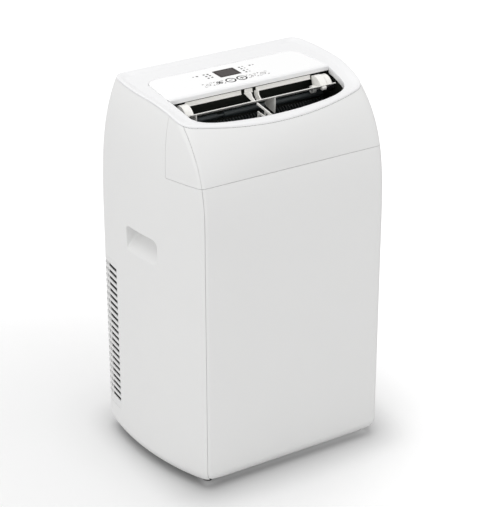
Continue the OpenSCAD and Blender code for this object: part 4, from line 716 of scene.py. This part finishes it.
cheek_edge = edge_at(hood_corner_z, hood_mid_y, hood_mid_z,
                     np.linspace(crease_side, 0, 9)[None], hood_edge_z)
cheek_t = np.linspace(0, 1, 9)[None, 1:]
cheek_gap = 0.3
cheek_y0 = front_at(hood_corner_z) + run_at(hood_corner_z)
cheek_y1 = cheek_y0[-1] + (cheek_line(rim_z) - cheek_gap - cheek_y0[-1]) * cheek_t
cheek_z = hood_z0 + (shell_top(cheek_y1) - hood_z0) * hood_v
cheek_yy = cheek_y0 + (cheek_line(cheek_z) - cheek_gap - cheek_y0) * cheek_t
cheek_skin = np.concatenate([cheek_edge, points(side_at(cheek_yy, cheek_z), cheek_yy,
                                                cheek_z)], axis=1)
cheek_skin[..., 2] += (shell_top(cheek_skin[-1, :, 1]) - cheek_skin[-1, :, 2]) * hood_v
make_pair("_cheek_shell", cheek_skin, grid_faces(*cheek_skin.shape[:2]), shell_white,
          node="_cheek", slot="shell_plastic", wall=shell_t, bevel=0.4)

# ---- top cover ----
# A frame with a soft raised rim, dished inside it, moulded round the outlet opening and
# the seat of the control panel; a flange hangs under the outlet's edge.
dish = 5.0
rim_w = 18.0
flange_h = 12.0
outlet_y1 = -4.0
cover_mid_y = 5.0
top_white = plastic("top white", (0.84, 0.84, 0.845), 0.36)


def smoothed(line, times):
    """Closed outline with its corners cut at a quarter of each edge, several times."""
    for _ in range(times):
        ahead = np.roll(line, -1, axis=0)
        line = np.stack([line * 0.75 + ahead * 0.25, line * 0.25 + ahead * 0.75],
                        axis=1).reshape(-1, 2)
    return line


def whole(half):
    """Right half of an outline, from the rear middle to the front middle, made whole."""
    return np.concatenate([half, (half * [-1, 1])[-2:0:-1]])


def by_direction(line, turn):
    """Outline's points in the directions turn seen from (0, cover_mid_y)."""
    x, y = line[:, 0], line[:, 1] - cover_mid_y
    a = np.arctan2(y, x)
    order = np.argsort(a)
    a, x, y = a[order], x[order], y[order]
    a = np.concatenate([a - 2 * math.pi, a, a + 2 * math.pi])
    far = np.interp(turn, a, np.tile(np.hypot(x, y), 3))
    return np.stack([far * np.cos(turn), far * np.sin(turn) + cover_mid_y], axis=1)


def even(line, count):
    """Closed outline with count points evenly spaced along it."""
    shut = np.concatenate([line, line[:1]])
    run = np.concatenate([[0], np.cumsum(np.linalg.norm(np.diff(shut, axis=0), axis=1))])
    at = np.linspace(0, run[-1], count, endpoint=False)
    return np.stack([np.interp(at, run, shut[:, 0]), np.interp(at, run, shut[:, 1])], axis=1)


corner_turn = np.linspace(math.pi / 2, 0, 25)
cover_r = 24.0
cover_y = 125.0           # middle of the rear corners' round
cover_x = float(side_at(cover_y, top_at(np.array(cover_y)) - 3)) - cover_r
cover_side_y = np.linspace(cover_y, float(edge_y1), 60)[1:]
cover_half = np.concatenate([
    [[0, cover_y + cover_r]], np.stack([cover_x + cover_r * np.cos(corner_turn),
                                        cover_y + cover_r * np.sin(corner_turn)], axis=1),
    np.stack([side_at(cover_side_y, top_at(cover_side_y) - 3), cover_side_y], axis=1),
    edge_at(np.array(rim_z), np.array(mid_y1), np.array(mid_z1),
            np.linspace(0, 1, 25), np.array(float(shell_top(edge_y1))))[1:, :2],
    hood_face[-1][:, :2]])
cover_line = even(whole(cover_half), 480)
cover_turn = np.arctan2(cover_line[:, 1] - cover_mid_y, cover_line[:, 0])

plate_x, plate_y, plate_r = 130.0, 72.0, 26.0   # round rear corner of the control plate
plate_gap = 0.4
seat_turn = np.linspace(math.pi / 2, 0, 17)
seat_corner = np.stack([plate_x + plate_r * np.cos(seat_turn),
                        plate_y + plate_r * np.sin(seat_turn)], axis=1)
seat_half = np.concatenate([[[0, plate_y + plate_r + plate_gap]], seat_corner + plate_gap,
                            [[162.4, -2.4]]])
# the outlet's right half: a short straight end, a quick bend and the bowed front edge
outlet_half = np.array([
    [161, -4], [160.6, -12], [159.5, -28], [158, -42], [156.6, -54], [154.6, -64],
    [149, -72], [142, -76.8], [132, -81.3], [121, -84.6], [107, -87.3], [93.6, -89.3],
    [80, -90.9], [66, -92.3], [50, -93.6], [33, -94.5], [16, -95], [0, -95.2]])
outlet_line = smoothed(whole(np.concatenate([seat_half, outlet_half])), 2)
inner_line = by_direction(outlet_line, cover_turn)
away = np.linalg.norm(cover_line - inner_line, axis=1)
ahead = np.roll(cover_line, -1, axis=0) - np.roll(cover_line, 1, axis=0)
ahead /= np.linalg.norm(ahead, axis=1)[:, None]
inward = (inner_line - cover_line) / away[:, None]
lean = np.abs(ahead[:, 0] * inward[:, 1] - ahead[:, 1] * inward[:, 0])
cover_rings = []
rim_profile = [(0, 3.0), (0, 1.7), (0.1, 1.2), (0.4, 0.7), (0.9, 0.3), (1.7, 0.06),
               (2.7, 0)] + [(2.7 + (rim_w - 2.7) * t, dish * t * t * (3 - 2 * t))
                            for t in np.linspace(0.1, 1, 10)]
for inset, drop in rim_profile:
    p = cover_line + inward * np.minimum(inset / lean, away - 3)[:, None]
    cover_rings.append(points(p[:, 0], p[:, 1], top_at(p[:, 1]) - drop))
last = cover_rings[-1][:, :2]
for share in (0.3, 0.6, 0.85):
    p = last + (inner_line - last) * share
    cover_rings.append(points(p[:, 0], p[:, 1], top_at(p[:, 1]) - dish))
flange = np.where(inner_line[:, 1] < outlet_y1, flange_h, 4.0)
for inset, drop in ((1.6, 0), (0.9, 0.12), (0.3, 0.5), (0, 1.2)):
    p = inner_line - inward * inset
    cover_rings.append(points(p[:, 0], p[:, 1], top_at(p[:, 1]) - dish - drop))
for share in (0.5, 1.0):
    cover_rings.append(points(inner_line[:, 0], inner_line[:, 1], top_at(inner_line[:, 1])
                              - dish - 1.2 - (flange - 1.2) * share))
cover_verts = np.stack(cover_rings)
make_piece("top_cover_shell", cover_verts.reshape(-1, 3),
           grid_faces(len(cover_rings), len(cover_line), wrap=True)[:, ::-1], top_white,
           node="top_cover", slot="top_plastic", wall=2.4, bevel=0.3)

brow_profile = np.array([[2.9, 692.6], [2.9, 694.9], [-2.2, 695.0], [-3.2, 694.7],
                         [-3.8, 694.1], [-4.0, 693.2], [-4.0, 687.2], [-3.5, 686.8],
                         [-1.8, 686.8], [-1.8, 692.6]])


def prism(outline, x0, x1):
    """Solid between x0 and x1 whose cut is an outline of depths and heights, clockwise
    seen from the right: a grid of four faces to a side and one face at each end."""
    n = len(outline)
    x = np.linspace(x0, x1, 5)[:, None]
    verts = points(x, outline[None, :, 0], outline[None, :, 1])
    sides = grid_faces(5, n, wrap=True)
    ends = [list(range(n))[::-1], list(range(4 * n, 5 * n))]
    flip = np.sum(outline[:, 0] * np.roll(outline[:, 1], -1)
                  - np.roll(outline[:, 0], -1) * outline[:, 1]) < 0
    faces = sides.tolist() + ends
    return verts.reshape(-1, 3), [f[::-1] for f in faces] if flip else faces


def joined(parts):
    """Several (points, faces) taken together, numbered on."""
    verts, faces, start = [], [], 0
    for v, f in parts:
        verts.append(v)
        faces += [[i + start for i in face] for face in f]
        start += len(v)
    return np.concatenate(verts), faces


make_piece("outlet_brow", *prism(brow_profile, -161.2, 161.2), top_white,
           slot="top_plastic", bend=40)

# ---- control panel ----
# A gloss white plate that lies flush in the top cover's seat, with printed key symbols
# and lamp dots, and a dark window over the display. Held by double-sided tape.
gloss_white = plastic("gloss white", (0.93, 0.93, 0.93), 0.12, mottle=0.01, grain=300.0,
                      relief=0.000002, Coat_Weight=0.5, Coat_Roughness=0.04)
plate_rise = 0.15         # above the floor of the dish
plate_half = np.concatenate([[[0, plate_y + plate_r]], seat_corner,
                             [[162, 5], [160.6, 3.6], [80, 3.6], [0, 3.6]]])
plate_line = even(whole(plate_half), 360)
plate_mid = np.stack([np.clip(plate_line[:, 0], -110, 110), np.full(360, 45.0)], axis=1)
plate_way = plate_mid - plate_line
plate_far = np.linalg.norm(plate_way, axis=1)[:, None]
plate_rings = []
for inset, drop in ((0, 3.0), (0, 0.6), (0.18, 0.25), (0.5, 0.06), (1.0, 0), (6, 0),
                    (14, 0), (24, 0), (35, 0), (99, 0)):
    p = plate_line + plate_way * np.minimum(inset / plate_far, 1)
    plate_rings.append(points(p[:, 0], p[:, 1], top_at(p[:, 1]) - dish + plate_rise - drop))
make_piece("control_plate", np.stack(plate_rings).reshape(-1, 3),
           grid_faces(len(plate_rings), 360, wrap=True)[:, ::-1], gloss_white,
           node="control_panel", slot="panel_plastic", weld=True, bend=80)


def ribbon(line, width):
    """Flat strip of a width along a line of plan points: rows left and right of it."""
    line = np.asarray(line, float)
    way = np.gradient(line, axis=0)
    way /= np.linalg.norm(way, axis=1)[:, None]
    side = np.stack([-way[:, 1], way[:, 0]], axis=1) * width / 2
    return np.concatenate([line - side, line + side])


def arc(x, y, r, a0, a1, count=25):
    """Plan points along an arc, degrees."""
    a = np.radians(np.linspace(a0, a1, count))
    return np.stack([x + r * np.cos(a), y + r * np.sin(a)], axis=1)


def print_on_plate(name, strokes, colour):
    """Thin raised print on the control plate from a list of (line, width)."""
    verts, faces, start = [], [], 0
    for line, width in strokes:
        strip = ribbon(line, width)
        n = len(strip) // 2
        z = top_at(strip[:, 1]) - dish + plate_rise
        low = points(strip[:, 0], strip[:, 1], z - 0.05)
        high = points(strip[:, 0], strip[:, 1], z + 0.04)
        verts += [low, high]
        ids = start + np.arange(4 * n).reshape(4, n)
        around = ids[[0, 1, 3, 2, 0]]
        faces += [quads(around), around[:4, 0][None], around[:4, -1][::-1][None]]
        start += 4 * n
    obj = make_piece(name, np.concatenate(verts), np.concatenate(faces),
                     plastic(name.replace("_", " "), colour, 0.6, relief=0.000005,
                             Specular_IOR_Level=0.08),
                     slot="panel_plastic", bend=30)
    fresh = bmesh.new()
    fresh.from_mesh(obj.data)
    bmesh.ops.recalc_face_normals(fresh, faces=fresh.faces)
    fresh.to_mesh(obj.data)
    fresh.free()


def brackets(x, y, half):
    """Four short corner marks round a key symbol."""
    out = []
    for sx in (-1, 1):
        for sy in (-1, 1):
            cx, cy = x + sx * half, y + sy * half * 0.8
            out += [([(cx, cy), (cx - sx * 3.4, cy)], 1.2),
                    ([(cx, cy), (cx, cy - sy * 3.4)], 1.2)]
    return out


# six touch keys in a row: power, cooling, less, more, fan and timer
key_y = 25.8
key_x = (-67.4, -45.3, -22.7, -0.3, 21.0, 43.3)
power_x, star_x, less_x, more_x, fan_x, timer_x = key_x
ring_r = 8.7
bold = [(arc(less_x, key_y, ring_r, 0, 360, 49), 2.6),
        ([(less_x - 3.4, key_y), (less_x + 3.4, key_y)], 1.9),
        (arc(more_x, key_y, ring_r, 0, 360, 49), 2.6),
        ([(more_x - 4, key_y), (more_x + 4, key_y)], 2.0),
        ([(more_x, key_y - 4), (more_x, key_y + 4)], 2.0)]
hub = np.array([star_x, key_y])
for turn in np.radians(np.arange(0, 360, 60)):
    way = np.array([math.cos(turn), math.sin(turn)])
    across = np.array([-way[1], way[0]])
    bold.append((np.array([hub, hub + way * 6.6]), 1.5))
    for side in (-1, 1):
        bold.append((np.array([hub + way * 3.4, hub + way * 5.6 + across * side * 2.2]), 1.2))
print_on_plate("key_symbols_dark", bold, (0.018, 0.015, 0.015))
faint = []
for x in (power_x, star_x, fan_x, timer_x):
    faint += brackets(x, key_y, 9)
faint += [(arc(power_x, key_y, 4, 125, 415, 25), 1.1),
          ([(power_x, key_y + 1), (power_x, key_y + 5.4)], 1.1),
          (arc(fan_x, key_y, 1.6, 0, 360, 17), 1.2)]
for turn in (0, 120, 240):
    faint.append((arc(fan_x + 3.6 * math.cos(math.radians(turn)),
                      key_y + 3.6 * math.sin(math.radians(turn)), 2.4, turn - 100,
                      turn + 60, 11), 1.2))
faint += [(arc(timer_x, key_y, 4.6, 0, 360, 33), 1.1),
          ([(timer_x, key_y), (timer_x, key_y + 3.2)], 1.0),
          ([(timer_x, key_y), (timer_x + 2.8, key_y)], 1.0)]
print_on_plate("key_symbols_faint", faint, (0.16, 0.145, 0.14))
for name, colour, wide, tall, places in (
        ("lamp_dots_dark", (0.035, 0.03, 0.03), 3.8, 3.8,
         ((-50.5, 72), (-50.3, 63), (-50.7, 54), (-43.1, 71), (-42.6, 63.5), (-43.2, 54.5),
          (22, 72), (22, 63.8), (21.4, 54.8), (21.3, 46.3), (-64.4, 71.4), (43.2, 71.3))),
        ("lamp_dots_pale", (0.15, 0.14, 0.14), 3.0, 2.4,
         ((28.9, 73), (29, 64.6), (28.8, 55.3), (28.4, 46.5), (-71.6, 72), (49.8, 71.4)))):
    print_on_plate(name, [([(x - wide / 2, y), (x + wide / 2, y)], tall)
                          for x, y in places], colour)


def lying_tile(x0, x1, y0, y1, low, high, radius):
    """Thin tile with rounded corners: its outline twice, then shut above and below."""
    box = even(np.array([[x0, y0], [x1, y0], [x1, y1], [x0, y1]], float), 64)
    line = round_outline(box, np.array([x0, y0]), np.array([x1, y1]), np.full(64, radius))
    lift = points(line[:, 0], line[:, 1], 0)
    verts = np.concatenate([lift + [0, 0, low], lift + [0, 0, high]])
    return verts, grid_faces(2, 64, wrap=True).tolist() + [list(range(64))[::-1],
                                                           list(range(64, 128))]


display_z = crown_z + crown_r - dish + plate_rise
make_piece("display_glass",
           *lying_tile(-31, 11.5, 45, 78, display_z - 0.6, display_z + 0.06, 1.0),
           plastic("display glass", (0.014, 0.006, 0.005), 0.34, mottle=0.1,
                   relief=0.000002, Specular_IOR_Level=0.12),
           node="display_window", slot="display_plastic", bend=30)
make_piece("display_screen",
           *lying_tile(-26, 6, 50, 73.5, display_z - 0.3, display_z + 0.09, 0.4),
           plastic("display screen", (0.030, 0.022, 0.022), 0.35, mottle=0.06,
                   relief=0.000002, Specular_IOR_Level=0.15), slot="display_plastic", bend=30)

# ---- outlet: duct, guard, centre rib and louver ----
# A black trough under the top cover with a round lip and a comb of fins in front; the
# white louver blade swings on a stepper motor on the left and a bush on the right, and
# hooked arms in the middle keep it from bending.


def coat_nodes(material, *names):
    """The built parts of these names get this finish."""
    for name in names:
        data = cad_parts[name].data
        if len(data.materials) == 0:
            data.materials.append(material)
        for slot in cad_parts[name].material_slots:
            slot.material = material


duct_black = plastic("duct black", (0.017, 0.019, 0.016), 0.5, grain=900.0,
                     Specular_IOR_Level=0.3)
coat_nodes(duct_black, "outlet_duct")
coat_nodes(plastic("guard black", (0.008, 0.009, 0.010), 0.5), "outlet_guard", "louver_bush")
louver_white = plastic("louver white", (0.90, 0.89, 0.86), 0.34)
coat_nodes(louver_white, "outlet_rib")
louver_y, louver_z = -12.0, 661.0
blade_l, blade_t = 35.0, 2.0
blade_rise = 29           # degrees by which the blade's front edge stands up
sector_r = 24.0


def swept_round(x, r, y0, z0, count=64):
    """Body of revolution about a line along x at (y0, z0): one ring of points for each
    pair of x and radius, closed at both ends."""
    a = np.linspace(0, 2 * math.pi, count, endpoint=False)
    rings = points(np.asarray(x, float)[:, None],
                   y0 + np.asarray(r, float)[:, None] * np.cos(a),
                   z0 + np.asarray(r, float)[:, None] * np.sin(a))
    n = len(x)
    faces = grid_faces(n, count, wrap=True)[:, ::-1].tolist()
    return rings.reshape(-1, 3), faces + [list(range(count)),
                                          list(range((n - 1) * count, n * count))[::-1]]


def turned(outline, rise):
    """Outline about the louver's axis, its front raised by rise degrees."""
    a = math.radians(-rise)
    y, z = outline[:, 0], outline[:, 1]
    return np.stack([louver_y + y * math.cos(a) - z * math.sin(a),
                     louver_z + y * math.sin(a) + z * math.cos(a)], axis=1)


# cuts across the louver: blade, hooked arm, propped arm, keel plate and end sector
blade_cut = np.array([[-1, -0.5 * blade_t], [-1, 0.5 * blade_t],
                      [1.1 - blade_l, 0.5 * blade_t], [0.3 - blade_l, 0.35 * blade_t],
                      [-blade_l, 0], [0.3 - blade_l, -0.35 * blade_t],
                      [1.1 - blade_l, -0.5 * blade_t]])
hook_cut = np.array([[6, 18.5], [-1, 17.5], [-11, 15], [-23, 12.4], [-31, 15.6],
                     [-26, 18.5], [-20, 21], [-18, 26], [-10, 26.5], [4.5, 19.5]])
prop_cut = np.array([[9, 18.5], [9, 10], [4, 5.5], [-1, 0], [-15, 7.6], [-8, 12],
                     [-4, 16], [-3, 23], [-3, 26.5], [1, 21]])
keel_cut = np.array([[2, -6], [-4, -10], [-16, -12.5], [-30, -13.5], [-31, -1],
                     [-30.9, 16.6], [-2, 0.6]])
sector_turn = np.radians(np.linspace(152, 62, 18))
sector_cut = np.concatenate([
    sector_r * np.stack([np.cos(sector_turn), np.sin(sector_turn)], axis=1),
    [[4, 0], [0, -3], [-6, 0]]])
pivot = np.array([louver_y, louver_z])
knob_x = 127.0
knob_at = turned(np.array([[-30.0, -3.5]]), blade_rise)[0]
louver_parts = [prism(turned(blade_cut, blade_rise), -141, 151)]
louver_parts += [prism(cut + pivot, x0, x1) for cut, x0, x1 in (
    (hook_cut, -16, -14), (prop_cut, 7, 9), (keel_cut, 24, 26), (keel_cut, -133, -131),
    (sector_cut, -146, -131), (sector_cut, 126, 140), (sector_cut * 0.96, 141.2, 151))]
louver_parts += [
    swept_round([-131.5, -124, -123.4], [6, 6, 5.4], louver_y, louver_z, 32),
    swept_round([119.4, 120, 126.5], [6.4, 7, 7], louver_y, louver_z, 32),
    swept_round(knob_x + np.array([-4.5, -3.6, 3.6, 4.5]), [3.4, 4.4, 4.4, 3.4],
                *knob_at, 32)]
make_piece("louver_moulding", *joined(louver_parts), louver_white, node="louver",
           slot="louver_plastic", body="louver", bend=35)

# lip under the brow, a little behind it, that shows as a pale band over the dark duct
lip_cut = np.array([[-0.4, 684.5], [-0.4, 676.9], [-1.2, 676.4], [-2.6, 676.6],
                    [-3.0, 677.3], [-2.4, 678.4], [-1.4, 679.6], [-1.0, 684.5]])
lip_spans = [(-130, -18.5), (-11.5, 4.5), (11.5, 124)]
make_piece("outlet_lip", *joined([prism(lip_cut, *span) for span in lip_spans]),
           plastic("lip white", (0.86, 0.85, 0.82), 0.45), slot="top_plastic", bend=35)

# round bar of the deflector low at the back of the duct, with a notch, and black fins
bar_grey = plastic("bar slate", (0.034, 0.042, 0.045), 0.45, grain=700.0)
bar_y, bar_z = 0.0, 646.0
bar_steps = ([-150, -67.5, -67, -54, -53.5, 150], [5.2, 5.2, 3, 3, 5.2, 5.2])
make_piece("duct_bar", *swept_round(*bar_steps, bar_y, bar_z, 40), bar_grey,
           slot="duct_plastic", bend=40)
fin_cut = np.array([[-24, 612], [-6, 612], [-4, 636], [-7, 640], [-12, 638], [-24, 624]])
fin_t, fin_step = 1.6, 6.0
# painted sheen: the fins' black is a little lighter than the guard's, so that they show in
# the duct's shade as if catching light
make_piece("duct_fins", *joined([prism(fin_cut, x - fin_t / 2, x + fin_t / 2)
                                 for x in np.arange(-147, 148, fin_step)]),
           plastic("fin black with painted sheen", (0.032, 0.037, 0.038), 0.4), slot="duct_plastic", bend=30)

# ---- rear cover, filters and fittings ----
# The back is one flat cover with two framed intakes for the filters, the ring for the
# exhaust hose, two drain spouts with rubber plugs and the cord inlet. Its screws are zinc
# plated steel; a metal has drawn or rolled streaks and some tarnish.
rear_white = plastic("rear white", (0.77, 0.77, 0.765), 0.45)
coat_nodes(rear_white, "rear_cover", "upper_filter", "lower_filter", "hose_collar")
coat_nodes(plastic("fitting black", (0.018, 0.018, 0.019), 0.5), "cord_gland",
           "upper_drain_plug", "lower_drain_plug", "compressor_grommets")
drawn, drawn_in, drawn_out = shade_group("drawn metal", [
    ("INPUT", "Colour", "Color", (0.6, 0.6, 0.6, 1)), ("INPUT", "Tarnish", "Float", 0.2),
    ("INPUT", "Gloss", "Float", 0.35), ("INPUT", "Streaks", "Vector", (40.0, 40.0, 900.0)),
    ("OUTPUT", "Colour", "Color", None), ("OUTPUT", "Roughness", "Float", None),
    ("OUTPUT", "Height", "Float", None)])
drawn_place = drawn.nodes.new("ShaderNodeTexCoord").outputs["Object"]
drawn_stretch = drawn.nodes.new("ShaderNodeVectorMath")
drawn_stretch.operation = "MULTIPLY"
drawn.links.new(drawn_place, drawn_stretch.inputs[0])
drawn.links.new(drawn_in.outputs["Streaks"], drawn_stretch.inputs[1])
drawn_streak = noise(drawn, 1.0, 3, drawn_stretch.outputs["Vector"])
drawn_cloud = noise(drawn, 35.0, 4, drawn_place)
drawn_tint = sums(drawn, "MULTIPLY", drawn_in.outputs["Tarnish"],
                  sums(drawn, "SUBTRACT", drawn_cloud, 0.5))
drawn.links.new(scaled_colour(drawn, drawn_in.outputs["Colour"],
                              sums(drawn, "ADD", drawn_tint, 1.0)),
                drawn_out.inputs["Colour"])
drawn.links.new(sums(drawn, "ADD", drawn_in.outputs["Gloss"],
                     spread(drawn, drawn_streak, -0.12, 0.12)),
                drawn_out.inputs["Roughness"])
drawn.links.new(drawn_streak, drawn_out.inputs["Height"])


def metal(name, colour, gloss=0.35, tarnish=0.2, streaks=(40, 40, 900),
          relief=0.00001, **fixed):
    """Bare or coated metal of one colour."""
    return finish_of(name, drawn, {"Colour": (*colour, 1), "Gloss": gloss,
                                   "Tarnish": tarnish, "Streaks": streaks}, relief,
                     **{"Metallic": 1.0, **fixed})


zinc = metal("zinc plate", (0.62, 0.63, 0.64), 0.36, 0.15, (200, 200, 200))
coat_nodes(zinc, "rear_screws")

# ---- base pan and castors ----
# The pan carries everything and has a well for each castor; forks turn on plain stems,
# wheels run on steel pins.
coat_nodes(plastic("pan grey", (0.10, 0.10, 0.105), 0.5), "base_pan", "drip_tray")
castor_black = plastic("castor black", (0.012, 0.012, 0.013), 0.42)
wheel_black = plastic("wheel black", (0.010, 0.010, 0.010), 0.55)
for corner in ("fl", "fr", "rl", "rr"):
    coat_nodes(castor_black, "castor_fork_" + corner)
    coat_nodes(wheel_black, "castor_wheel_" + corner)
    coat_nodes(zinc, "castor_axle_" + corner)

# ---- inner works ----
# The cold half above the drip tray and the hot half below it, each with a finned coil, a
# blower and its housing; compressor, pipes and the electrical box at the bottom.
coat_nodes(plastic("housing black", (0.03, 0.03, 0.032), 0.5), "evaporator_scroll",
           "condenser_scroll", "evaporator_wheel", "condenser_wheel", "splash_wheel")
coat_nodes(metal("motor steel", (0.55, 0.56, 0.57), 0.4, 0.2), "evaporator_motor",
           "condenser_motor", "splash_motor", "louver_motor", "electrical_box")
coat_nodes(metal("fin aluminium", (0.72, 0.73, 0.74), 0.3, 0.1), "evaporator_coil",
           "condenser_coil", "run_capacitor")
coat_nodes(metal("copper tube", (0.74, 0.40, 0.24), 0.28, 0.3), "suction_pipe",
           "discharge_pipe", "liquid_line")
coat_nodes(plastic("black paint", (0.015, 0.015, 0.016), 0.32, Coat_Weight=0.3),
           "compressor", "suction_accumulator")
coat_nodes(plastic("board green", (0.02, 0.12, 0.05), 0.4, mottle=0.3), "control_board")

low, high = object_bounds()
